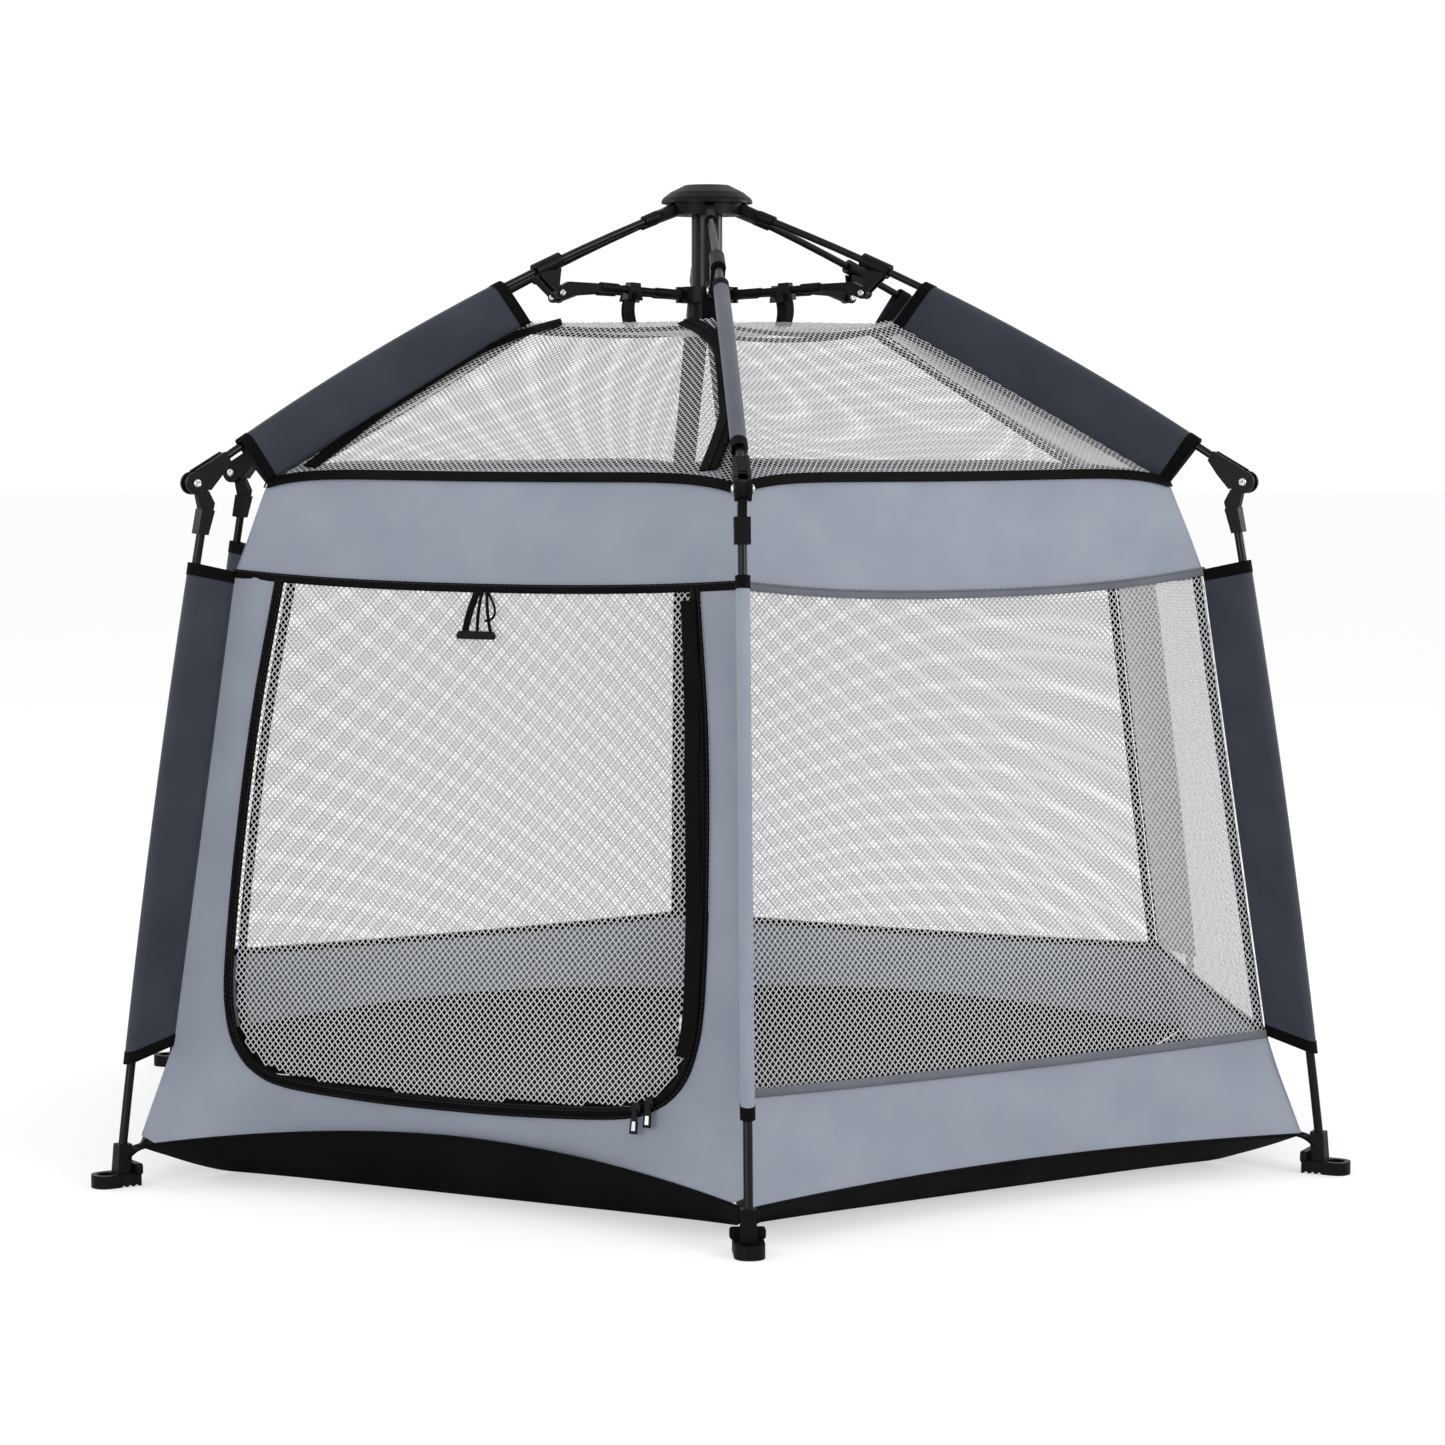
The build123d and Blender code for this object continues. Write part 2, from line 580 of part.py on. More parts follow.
door_cut = extrude(door_outline(tape_w + 1.0), amount=30, both=True)
hem_r = wall_foot[0] - hem_mid_in
tray, bands, nets, uppers, roofs, tops = [], [], [], [], [], []
floor_corners = [corner_point(k, (floor_r, 0.0)) for k in sides]
tray.append(extrude(Face(Wire.make_polygon(floor_corners, close=True)), amount=cloth + 0.5, dir=(0, 0, 1)))
for k in sides:
    n = (k + 1) % 6
    tip_a, tip_b = corner_point(k, floor_tip), corner_point(n, floor_tip)
    hem = side_point(k, 0, cos30 * hem_r, hem_mid_z)
    lift = Vector(0, 0, cloth + 1.5)
    ground_a, ground_b = floor_corners[k] + lift, floor_corners[n] + lift
    tray += [panel([ground_a, ground_b, hem]), panel([ground_a, hem, tip_a]), panel([ground_b, tip_b, hem])]
    foot_a, foot_b = corner_point(k, wall_foot), corner_point(n, wall_foot)
    top_a, top_b = corner_point(k, wall_top), corner_point(n, wall_top)
    if k != door_side:
        bands.append(panel([foot_a, hem, foot_b], gap=band_gap))
        nets.append(panel([foot_a, foot_b, top_b, top_a], gap=1.0))
    low = [panel([foot_a, tip_a, hem], gap=band_gap), panel([foot_b, hem, tip_b], gap=band_gap)]
    bands += low if k != door_side else [piece - door_cut for piece in low]
    eave_a, eave_b = corner_point(k, roof_foot), corner_point(n, roof_foot)
    uppers.append(panel([top_a, top_b, eave_b, eave_a], gap=1.0))
    ridge_a, ridge_b = corner_point(k, roof_top), corner_point(n, roof_top)
    if k != door_side:
        roofs.append(panel([eave_a, eave_b, ridge_b, ridge_a], gap=1.0))
    tops.append(panel([ridge_a, ridge_b, Vector(0, 0, roof_top[1] - top_sag)], gap=1.0))

# The door side: a frame of cloth round the opening, the zip tape, the netting door and its sliders
def outline_plate(face, thickness, out=0.0):
    """A plate on the wall plane, its outer face at the gap out, thickness inwards."""
    return Pos(*(wall_plane.z_dir * out)) * extrude(face, amount=thickness, dir=wall_plane.z_dir * -1)


door_net = outline_plate(door_outline(-1.0), cloth)
door_tape = outline_plate(door_outline(tape_w), tape_t + 1) - outline_plate(door_outline(0), 20, 5)
save("door_net", door_net)
save("door_zip_tape", door_tape)
frame_gap = tape_w + 1.0
side_foot, side_top = wall_foot[0] / 2, wall_top[0] / 2
for x in (-1, 1):
    strip = [
        (x * (door_top_half + frame_gap), leg_fin_z1),
        (x * (side_top - 1), leg_fin_z1 - 1),
        (x * (side_foot - 1), leg_fin_z0 + 1),
        (x * (door_low_half + frame_gap), leg_fin_z0 + 1),
        (x * (door_low_half + frame_gap), door_low_z + 0.38 * (door_top_z - door_low_z)),
    ]
    bands.append(panel([wall_at(s, z) for s, z in strip], gap=0.5))
low_edge = door_low_z - frame_gap
bands.append(
    panel(
        [
            wall_at(-door_low_half, low_edge),
            wall_at(door_low_half, low_edge),
            wall_at(door_low_half - 60, low_edge - 22),
            wall_at(60 - door_low_half, low_edge - 22),
        ],
        gap=0.5,
    )
)
save("floor_tray", *tray)
save("lower_bands", *bands)
save("window_nets", *nets)
save("upper_bands", *uppers)
save("top_net", *tops)

sliders = []
for s in slider_s:
    z = (door_low_z - tape_w / 2 + 4.0) * stretch
    body = Box(slider_w, slider_h, slider_t)
    sliders.append(wall_plane * Pos(s, z, slider_out + slider_t / 2) * body)
    pull = Box(pull_w, pull_h, pull_t)
    z -= (slider_h + pull_h) / 2 + 0.3
    sliders.append(wall_plane * Pos(s, z, slider_out + slider_t / 2) * pull)
save("zip_sliders", *sliders)

toggle_parts = [wall_plane * Pos(toggle_s, toggle_z * stretch, toggle_t / 2 + 0.5)
                * Box(toggle_w, toggle_h, toggle_t)]
strand_low = toggle_z * stretch + toggle_h / 2 + 0.3
strand_high = (door_top_z - 6) * stretch
for x in (-6, 0, 6):
    strand = Box(2.5, strand_high - strand_low, 1.5)
    toggle_parts.append(wall_plane * Pos(toggle_s + x, (strand_low + strand_high) / 2, 1.6) * strand)
save("toggle_tie", *toggle_parts)

# The roof panel above the door: netting left and right of a flap that turns down on its lower edge
eave_ap, ridge_ap = cos30 * roof_foot[0], cos30 * roof_top[0]
roof_slope = (ridge_ap - eave_ap) / (roof_top[1] - roof_foot[1])


def roof_at(s, z):
    """A point on the roof panel above the door, at s along the side and height z."""
    return side_point(door_side, s, eave_ap + roof_slope * (z - roof_foot[1]), z)


flap_top_z = roof_top[1] - 6.0
flap = panel(
    [
        roof_at(-flap_low_half, flap_low_z),
        roof_at(flap_low_half, flap_low_z),
        roof_at(flap_top_half, flap_top_z),
        roof_at(-flap_top_half, flap_top_z),
    ],
    gap=0.5,
)
save("roof_flap", flap)
for x in (-1, 1):
    roofs.append(
        panel(
            [
                roof_at(x * flap_low_half, flap_low_z),
                roof_at(x * roof_foot[0] / 2, roof_foot[1]),
                roof_at(x * roof_top[0] / 2, roof_top[1]),
                roof_at(x * flap_top_half, flap_top_z),
            ],
            gap=1.0,
        )
    )
roofs.append(
    panel(
        [
            roof_at(-roof_foot[0] / 2, roof_foot[1]),
            roof_at(roof_foot[0] / 2, roof_foot[1]),
            roof_at(flap_low_half, flap_low_z),
            roof_at(-flap_low_half, flap_low_z),
        ],
        gap=1.0,
    )
)
save("roof_nets", *roofs)

# ---- Webbing: six hangers from the strut clips to the roof, six ties from the tent to the feet ---
clip_low = runner_pivot_z - 9.5
hanger = profile(
    [(86, clip_low), (108, clip_low + 2), (117, roof_top[1] - 5), (93, roof_top[1] - 6)], strap_t
)
save("top_straps", *(at_corner(hanger, k) for k in sides))
tie = profile(
    [
        (floor_tip[0] - 1.5, floor_tip[1] - 5),
        (floor_tip[0] + 1.0, floor_tip[1] - 5),
        (foot_r - foot_in - 1.0, foot_h + 2),
        (foot_r - foot_in - 3.5, foot_h + 2),
    ],
    25.0,
)
save("foot_straps", *(at_corner(tie, k) for k in sides))
print("runner travel", round(runner_travel, 2), "strut fold", round(strut_fold_angle, 2))
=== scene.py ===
import math

import bmesh
import bpy
import numpy as np
from mathutils import Matrix, Vector


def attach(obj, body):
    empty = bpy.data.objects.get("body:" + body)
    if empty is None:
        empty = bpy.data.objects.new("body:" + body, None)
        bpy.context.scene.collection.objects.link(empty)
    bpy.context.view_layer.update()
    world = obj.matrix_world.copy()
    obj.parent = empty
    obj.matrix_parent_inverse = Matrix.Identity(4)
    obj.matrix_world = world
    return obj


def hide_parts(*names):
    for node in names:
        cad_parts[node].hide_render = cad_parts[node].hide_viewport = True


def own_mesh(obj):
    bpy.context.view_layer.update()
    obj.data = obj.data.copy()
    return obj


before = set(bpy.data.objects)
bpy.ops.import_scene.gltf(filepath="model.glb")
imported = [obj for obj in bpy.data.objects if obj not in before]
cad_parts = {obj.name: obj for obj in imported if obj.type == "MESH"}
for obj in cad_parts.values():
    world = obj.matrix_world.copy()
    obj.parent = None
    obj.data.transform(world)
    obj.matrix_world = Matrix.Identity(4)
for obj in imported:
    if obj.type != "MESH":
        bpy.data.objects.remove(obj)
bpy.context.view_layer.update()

# ---- Camera, floor and light ------------------------------------------------------------------
# A long lens at about the height of the roof looks a little down at the front corner of the
# hexagon. The floor is plain and near white, and soft light comes from the right of the camera.
scene = bpy.context.scene
camera = bpy.data.objects.new("camera", bpy.data.cameras.new("camera"))
scene.collection.objects.link(camera)
camera.location = (-0.231, -4.228, 0.784)
camera.rotation_euler = (math.radians(90 - 4.70), 0, math.radians(-3.127))
camera.data.lens, camera.data.sensor_width = 96.4, 36.0
camera.data.shift_x = 0.0108
camera.data.clip_end = 100
scene.camera = camera
scene.view_settings.view_transform = "Standard"
scene.view_settings.look = "None"

bpy.ops.mesh.primitive_plane_add(size=60, location=(0, 0, -0.0004))
floor = bpy.context.object
floor.name = "pale_floor"
floor_paint = bpy.data.materials.new("pale_floor")
floor_paint.use_nodes = True
paint = floor_paint.node_tree.nodes["Principled BSDF"]
paint.inputs["Base Color"].default_value = (0.55, 0.55, 0.55, 1)
paint.inputs["Roughness"].default_value = 0.9
paint.inputs["Specular IOR Level"].default_value = 0.1
paint.inputs["Emission Color"].default_value = (1, 1, 1, 1)
floor_sight = floor_paint.node_tree.nodes.new("ShaderNodeLightPath")
floor_glow = floor_paint.node_tree.nodes.new("ShaderNodeMath")
floor_glow.operation = "MULTIPLY"
floor_glow.inputs[1].default_value = 0.52
floor_paint.node_tree.links.new(floor_sight.outputs["Is Camera Ray"], floor_glow.inputs[0])
floor_paint.node_tree.links.new(floor_glow.outputs[0], paint.inputs["Emission Strength"])
floor.data.materials.append(floor_paint)

scene.world = bpy.data.worlds.new("studio")
scene.world.use_nodes = True
tree = scene.world.node_tree
tree.nodes.clear()
seen = tree.nodes.new("ShaderNodeBackground")
lit = tree.nodes.new("ShaderNodeBackground")
which = tree.nodes.new("ShaderNodeLightPath")
choose = tree.nodes.new("ShaderNodeMixShader")
result = tree.nodes.new("ShaderNodeOutputWorld")
seen.inputs["Color"].default_value = (1, 1, 1, 1)
seen.inputs["Strength"].default_value = 1.05
lit.inputs["Color"].default_value = (1, 1, 1, 1)
lit.inputs["Strength"].default_value = 0.80
tree.links.new(which.outputs["Is Camera Ray"], choose.inputs["Fac"])
tree.links.new(lit.outputs[0], choose.inputs[1])
tree.links.new(seen.outputs[0], choose.inputs[2])
tree.links.new(choose.outputs[0], result.inputs["Surface"])


def softbox(name, at, toward, size, power):
    """A square studio light that faces a point."""
    lamp = bpy.data.lights.new(name, "AREA")
    lamp.size, lamp.energy = size, power
    box = bpy.data.objects.new(name, lamp)
    scene.collection.objects.link(box)
    box.location = at
    box.rotation_euler = (Vector(toward) - Vector(at)).to_track_quat("-Z", "Y").to_euler()


softbox("key_right", (3.6, -3.4, 2.2), (0, 0, 0.45), 2.2, 80)
softbox("fill_left", (-3.0, -3.8, 1.0), (0, 0, 0.35), 1.8, 42)
softbox("rim_left", (-4.2, 1.2, 2.2), (0, 0, 0.6), 1.6, 45)
softbox("rim_right", (4.4, 1.4, 1.6), (0, 0, 0.6), 1.4, 45)

# ---- Moulded black plastic --------------------------------------------------------------------
# Hub, runner, clamps, elbow blocks and feet are moulded in black glass-filled nylon: a fine grain
# from the tool, soft gloss, and faint paler rubbing where hands and ground touch it.
corner_names = ("front", "front_right", "back_right", "back", "back_left", "front_left")


def empty_tree(name, kind, takes, gives):
    """A node group with named inputs and outputs, and its two end nodes."""
    group = bpy.data.node_groups.new(name, kind)
    for way, sockets in (("INPUT", takes), ("OUTPUT", gives)):
        for label, sort in sockets.items():
            group.interface.new_socket(label, in_out=way, socket_type=f"NodeSocket{sort}")
    return group, group.nodes.new("NodeGroupInput"), group.nodes.new("NodeGroupOutput")


grain, g_in, g_out = empty_tree("tool_grain", "ShaderNodeTree", {"Grain Size": "Float", "Patch Size": "Float"},
                                {"Height": "Float", "Patches": "Float"})
where = grain.nodes.new("ShaderNodeTexCoord")
fine, broad = grain.nodes.new("ShaderNodeTexNoise"), grain.nodes.new("ShaderNodeTexNoise")
fine.inputs["Detail"].default_value = 3
broad.inputs["Detail"].default_value = 4
broad.inputs["Roughness"].default_value = 0.65
for noise_node, size in ((fine, "Grain Size"), (broad, "Patch Size")):
    over = grain.nodes.new("ShaderNodeMath")
    over.operation = "DIVIDE"
    over.inputs[0].default_value = 1.0
    grain.links.new(g_in.outputs[size], over.inputs[1])
    grain.links.new(over.outputs[0], noise_node.inputs["Scale"])
    grain.links.new(where.outputs["Object"], noise_node.inputs["Vector"])
grain.links.new(fine.outputs["Fac"], g_out.inputs["Height"])
grain.links.new(broad.outputs["Fac"], g_out.inputs["Patches"])


def ramp(tree, source, low, high, start=0.35, end=0.65):
    """A smooth change between two greys or colours over part of a mask."""
    node = tree.nodes.new("ShaderNodeValToRGB")
    for stop, place, value in zip(node.color_ramp.elements, (start, end), (low, high)):
        stop.position = place
        stop.color = (*value, 1) if hasattr(value, "__len__") else (value, value, value, 1)
    tree.links.new(source, node.inputs[0])
    return node.outputs[0]


def moulded(name, dark, pale, rough, depth=0.00006, metal=0.0, coat=0.0, grain_size=0.0006):
    """A moulded, drawn or painted hard surface: colour patches, grained bump, uneven gloss."""
    material = bpy.data.materials.new(name)
    material.use_nodes = True
    tree = material.node_tree
    body = tree.nodes["Principled BSDF"]
    group = tree.nodes.new("ShaderNodeGroup")
    group.node_tree = grain
    group.inputs["Grain Size"].default_value = grain_size
    group.inputs["Patch Size"].default_value = 0.03
    tree.links.new(ramp(tree, group.outputs["Patches"], dark, pale), body.inputs["Base Color"])
    tree.links.new(ramp(tree, group.outputs["Patches"], rough[0], rough[1]), body.inputs["Roughness"])
    bump = tree.nodes.new("ShaderNodeBump")
    bump.inputs["Strength"].default_value = 0.5
    bump.inputs["Distance"].default_value = depth
    tree.links.new(group.outputs["Height"], bump.inputs["Height"])
    tree.links.new(bump.outputs[0], body.inputs["Normal"])
    body.inputs["Metallic"].default_value = metal
    body.inputs["Specular IOR Level"].default_value = 0.5 if metal else 0.14
    body.inputs["Coat Weight"].default_value = coat
    body.inputs["Coat Roughness"].default_value = 0.2
    return material


black_nylon = moulded("black_nylon", (0.0022, 0.0022, 0.0025), (0.0042, 0.0042, 0.0046), (0.34, 0.46), 0.00009)
black_rod = moulded("black_glass_fibre", (0.002, 0.002, 0.0022), (0.0035, 0.0035, 0.004), (0.16, 0.28),
                    0.00002, coat=0.25)
post_paint = moulded("black_post_paint", (0.003, 0.003, 0.0033), (0.005, 0.005, 0.0055), (0.26, 0.36),
                     0.00003, coat=0.2)
bright_steel = moulded("bright_steel", (0.62, 0.62, 0.63), (0.74, 0.74, 0.75), (0.18, 0.3), 0.00002, metal=1.0)


def finish_node(node, material):
    """Gives a CAD node its own finish."""
    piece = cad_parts[node]
    if piece.material_slots:
        for holder in piece.material_slots:
            holder.material = material
    else:
        piece.data.materials.append(material)


for node in ("hub_cap", "hub_body", "post_end_plug", "runner"):
    finish_node(node, black_nylon)
finish_node("centre_post", post_paint)
for corner in corner_names:
    finish_node(f"roof_fittings_{corner}", black_nylon)
    finish_node(f"leg_fittings_{corner}", black_nylon)
    finish_node(f"strut_{corner}", black_nylon)
    finish_node(f"roof_rod_{corner}", black_rod)
    finish_node(f"leg_rod_{corner}", black_rod)

# ---- Rivets -----------------------------------------------------------------------------------
# Bright tubular rivets are the pivots of the elbows and of the struts' outer ends. Each has a
# domed head with a small dimple on both faces of its fork.
rivet_tree, r_in, r_out = empty_tree(
    "rivet_heads", "GeometryNodeTree",
    {"Geometry": "Geometry", "Head": "Object", "Steel": "Material"}, {"Geometry": "Geometry"},
)
r_put = rivet_tree.nodes.new("GeometryNodeInstanceOnPoints")
r_head = rivet_tree.nodes.new("GeometryNodeObjectInfo")
r_turn = rivet_tree.nodes.new("FunctionNodeAlignEulerToVector")
r_turn.axis = "Z"
r_normal = rivet_tree.nodes.new("GeometryNodeInputNamedAttribute")
r_normal.data_type = "FLOAT_VECTOR"
r_normal.inputs["Name"].default_value = "facing"
r_size = rivet_tree.nodes.new("GeometryNodeInputNamedAttribute")
r_size.data_type = "FLOAT"
r_size.inputs["Name"].default_value = "radius"
r_real = rivet_tree.nodes.new("GeometryNodeRealizeInstances")
r_mat = rivet_tree.nodes.new("GeometryNodeSetMaterial")
for a, b in (
    (r_in.outputs["Geometry"], r_put.inputs["Points"]),
    (r_in.outputs["Head"], r_head.inputs["Object"]),
    (r_head.outputs["Geometry"], r_put.inputs["Instance"]),
    (r_normal.outputs["Attribute"], r_turn.inputs["Vector"]),
    (r_turn.outputs["Rotation"], r_put.inputs["Rotation"]),
    (r_size.outputs["Attribute"], r_put.inputs["Scale"]),
    (r_put.outputs["Instances"], r_real.inputs["Geometry"]),
    (r_real.outputs["Geometry"], r_mat.inputs["Geometry"]),
    (r_in.outputs["Steel"], r_mat.inputs["Material"]),
    (r_mat.outputs["Geometry"], r_out.inputs["Geometry"]),
):
    rivet_tree.links.new(a, b)


def socket_of(tree, name):
    """The identifier of a named modifier input."""
    return next(s.identifier for s in tree.interface.items_tree if s.name == name and s.in_out == "INPUT")


def grown(piece, tree, **inputs):
    """Runs a node tree on a seed object and keeps its result as a plain mesh in its place."""
    modifier = piece.modifiers.new("grow", "NODES")
    modifier.node_group = tree
    for name, value in inputs.items():
        modifier[socket_of(tree, name.replace("_", " "))] = value
    bpy.context.view_layer.update()
    evaluated = piece.evaluated_get(bpy.context.evaluated_depsgraph_get())
    mesh = bpy.data.meshes.new_from_object(evaluated)
    piece.modifiers.clear()
    old, piece.data = piece.data, mesh
    bpy.data.meshes.remove(old)
    mesh.name = piece.name
    finish = [m for m in mesh.materials if m][-1]
    mesh.materials.clear()
    mesh.materials.append(finish)
    mesh.polygons.foreach_set("material_index", np.zeros(len(mesh.polygons), np.int32))
    return piece


def at_corner(corner, across, r, z):
    """Points in a corner's own plane: across it, r from the post's axis and z up."""
    a = math.radians(60 * corner)
    across, r, z = np.broadcast_arrays(across, r, z)
    return np.stack([r * math.sin(a) + across * math.cos(a), across * math.sin(a) - r * math.cos(a), z], -1)


def mesh_piece(name, points, faces, material, uv=None, smooth=True):
    """A finished mesh object in place, with an optional UV in metres for each point."""
    mesh = bpy.data.meshes.new(name)
    mesh.from_pydata(np.asarray(points, float).reshape(-1, 3).tolist(), [], [list(f) for f in faces])
    if uv is not None:
        layer = mesh.uv_layers.new(name="cut")
        loops = np.empty(len(mesh.loops), np.int32)
        mesh.loops.foreach_get("vertex_index", loops)
        layer.data.foreach_set("uv", np.asarray(uv, np.float32).reshape(-1, 2)[loops].ravel())
    mesh.materials.append(material)
    if smooth:
        mesh.polygons.foreach_set("use_smooth", np.ones(len(mesh.polygons), bool))
    piece = bpy.data.objects.new(name, mesh)
    scene.collection.objects.link(piece)
    return piece


head_profile = [(0.3, 0.3), (0.42, 0.52), (0.62, 0.5), (0.86, 0.34), (1.0, 0.1), (1.0, 0.0)]
head_points, head_faces = [], []
for j in range(16):
    a = math.tau * j / 16
    head_points += [(r * math.cos(a), r * math.sin(a), z) for r, z in head_profile]
head_points += [(0, 0, 0.28), (0, 0, 0.0)]
for j in range(16):
    a, b, n = j * 6, ((j + 1) % 16) * 6, len(head_points)
    head_faces.append((a, b, n - 2))
    head_faces += [(a + i, a + i + 1, b + i + 1, b + i) for i in range(5)]
    head_faces.append((b + 5, a + 5, n - 1))
rivet_head = mesh_piece("rivet_head_form", head_points, head_faces, bright_steel)
ELBOW, EAR = (0.616, 0.705), (0.188, 0.902)
for k, corner in enumerate(corner_names):
    points, facing, radius = [], [], []
    for (r, z), half, size in ((ELBOW, 0.0088, 0.0046), (EAR, 0.0087, 0.0036)):
        for x in (-1, 1):
            points.append(at_corner(k, x * half, r, z))
            facing.append(at_corner(k, x, 0, 0))
            radius.append(size)
    seeds = bpy.data.meshes.new("rivet_seeds")
    seeds.from_pydata([tuple(p) for p in points], [], [])
    seeds.attributes.new("facing", "FLOAT_VECTOR", "POINT").data.foreach_set("vector", np.ravel(facing))
    seeds.attributes.new("radius", "FLOAT", "POINT").data.foreach_set("value", radius)
    rivets = bpy.data.objects.new(f"rivets_{corner}", seeds)
    scene.collection.objects.link(rivets)
    grown(rivets, rivet_tree, Head=rivet_head, Steel=bright_steel)
    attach(rivets, f"arm_{corner}")
bpy.data.objects.remove(rivet_head)

# ---- Cloth and netting finishes ---------------------------------------------------------------
# The bands are a smooth blue-grey polyester, the sleeves the same cloth in slate, the floor a
# coated black one. Bindings and straps are black ribbed tape. The netting is a white warp knit.
weave, w_in, w_out = empty_tree("plain_weave", "ShaderNodeTree", {"Thread": "Float", "Mottle Size": "Float"},
                                {"Height": "Float", "Mottle": "Float"})
cut = weave.nodes.new("ShaderNodeUVMap")
cut.uv_map = "cut"
split = weave.nodes.new("ShaderNodeSeparateXYZ")
weave.links.new(cut.outputs[0], split.inputs[0])


def math_node(tree, kind, a, b=None):
    """One maths step between sockets or numbers."""
    node = tree.nodes.new("ShaderNodeMath")
    node.operation = kind
    for place, value in ((0, a), (1, b)):
        if hasattr(value, "links"):
            tree.links.new(value, node.inputs[place])
        elif value is not None:
            node.inputs[place].default_value = value
    return node.outputs[0]


turns = math_node(weave, "DIVIDE", math.pi, w_in.outputs["Thread"])
warp = math_node(weave, "SINE", math_node(weave, "MULTIPLY", split.outputs[0], turns))
weft = math_node(weave, "SINE", math_node(weave, "MULTIPLY", split.outputs[1], turns))
weave.links.new(math_node(weave, "MULTIPLY", warp, weft), w_out.inputs["Height"])
mottle = weave.nodes.new("ShaderNodeTexNoise")
mottle.inputs["Detail"].default_value = 5
weave.links.new(math_node(weave, "DIVIDE", 1.0, w_in.outputs["Mottle Size"]), mottle.inputs["Scale"])
weave.links.new(cut.outputs[0], mottle.inputs["Vector"])
weave.links.new(mottle.outputs["Fac"], w_out.inputs["Mottle"])


def cloth(name, dark, pale, rough, thread=0.0006, depth=0.0001, sheen=0.15, gloss=0.3, mottle_size=0.08):
    """A woven cloth or tape: mottled colour, thread bump, light sheen."""
    material = bpy.data.materials.new(name)
    material.use_nodes = True
    tree = material.node_tree
    body = tree.nodes["Principled BSDF"]
    group = tree.nodes.new("ShaderNodeGroup")
    group.node_tree = weave
    group.inputs["Thread"].default_value = thread
    group.inputs["Mottle Size"].default_value = mottle_size
    tree.links.new(ramp(tree, group.outputs["Mottle"], dark, pale, 0.3, 0.7), body.inputs["Base Color"])
    tree.links.new(ramp(tree, group.outputs["Mottle"], rough[1], rough[0], 0.3, 0.7), body.inputs["Roughness"])
    bump = tree.nodes.new("ShaderNodeBump")
    bump.inputs["Strength"].default_value = 0.6
    bump.inputs["Distance"].default_value = depth
    tree.links.new(group.outputs["Height"], bump.inputs["Height"])
    tree.links.new(bump.outputs[0], body.inputs["Normal"])
    body.inputs["Sheen Weight"].default_value = sheen
    body.inputs["Sheen Roughness"].default_value = 0.4
    body.inputs["Specular IOR Level"].default_value = gloss
    return material


grey_cloth = cloth("blue_grey_cloth", (0.262, 0.292, 0.355), (0.305, 0.335, 0.398), (0.62, 0.72))
grey_tape = cloth("grey_tape", (0.115, 0.125, 0.15), (0.15, 0.16, 0.19), (0.6, 0.7), thread=0.0008)
slate_cloth = cloth("slate_sleeve_cloth", (0.030, 0.036, 0.050), (0.042, 0.050, 0.068), (0.5, 0.62),
                    sheen=0.22, gloss=0.2)
# A paler copy of the slate sleeve cloth. This is painted light for the lit roof sleeve at the front corner.
slate_painted_lit = cloth("pale_slate_sleeve_cloth", (0.075, 0.085, 0.11), (0.10, 0.112, 0.14), (0.5, 0.62),
                   sheen=0.25, gloss=0.2)
floor_cloth = cloth("black_floor_cloth", (0.0028, 0.0028, 0.003), (0.0048, 0.0048, 0.0052), (0.5, 0.65),
                    sheen=0.0, gloss=0.08)
black_tape = cloth("black_ribbed_tape", (0.0022, 0.0022, 0.0024), (0.0042, 0.0042, 0.0045), (0.55, 0.7),
                   thread=0.0009, depth=0.0002, sheen=0.0, gloss=0.06)
white_knit = cloth("white_knit", (0.54, 0.545, 0.555), (0.64, 0.645, 0.655), (0.6, 0.7), 0.0004, 0.00005, 0.1)

# ---- Sleeves ----------------------------------------------------------------------------------
# Each roof arm and each leg runs in a sewn sleeve of slate cloth. It wraps the rod, closes to a
# narrow fin at the tent's corner seam, and has a black binding at each open end.
# Each point is (distance from the post's axis, height) in a corner's own plane.
ARM_START, ARM_END = (0.036, 0.996), (0.61726, 0.70750)
LEG_START, LEG_END = (0.60917, 0.65345), (0.7060, 0.0140)
ROOF_TOP, EAVE = (0.2228, 0.8699), (0.5340, 0.7034)
WALL_TOP, WALL_FOOT = (0.5716, 0.6150), (0.6459, 0.1370)
ROOF_SLEEVE_R, LEG_SLEEVE_Z = (0.247, 0.560), (0.124, 0.624)
SEAM_HALF, END_TAPE = 0.0016, 0.0125


def bowed(start, end, bow, t):
    """A point at share t of a shallow arc that bows up and outwards."""
    dr, dz = end[0] - start[0], end[1] - start[1]
    span = math.hypot(dr, dz)
    lift = bow * 4 * t * (1 - t)
    return start[0] + dr * t - dz / span * lift, start[1] + dz * t + dr / span * lift


def arm_at(r):
    """A roof rod's axis at a distance from the post."""
    return bowed(ARM_START, ARM_END, 0.019, (r - ARM_START[0]) / (ARM_END[0] - ARM_START[0]))


def leg_at(z):
    """A leg rod's axis at a height."""
    return bowed(LEG_START, LEG_END, 0.005, (LEG_START[1] - z) / (LEG_START[1] - LEG_END[1]))


def between(start, end, t):
    """A point at share t of a straight run."""
    return start[0] + (end[0] - start[0]) * t, start[1] + (end[1] - start[1]) * t


def rod_and_seam(kind, t):
    """The rod's axis and the tent's seam at share t of a sleeve's run."""
    if kind == "roof":
        return arm_at(ROOF_SLEEVE_R[0] + (ROOF_SLEEVE_R[1] - ROOF_SLEEVE_R[0]) * t), between(ROOF_TOP, EAVE, t)
    return leg_at(LEG_SLEEVE_Z[0] + (LEG_SLEEVE_Z[1] - LEG_SLEEVE_Z[0]) * t), between(WALL_FOOT, WALL_TOP, t)


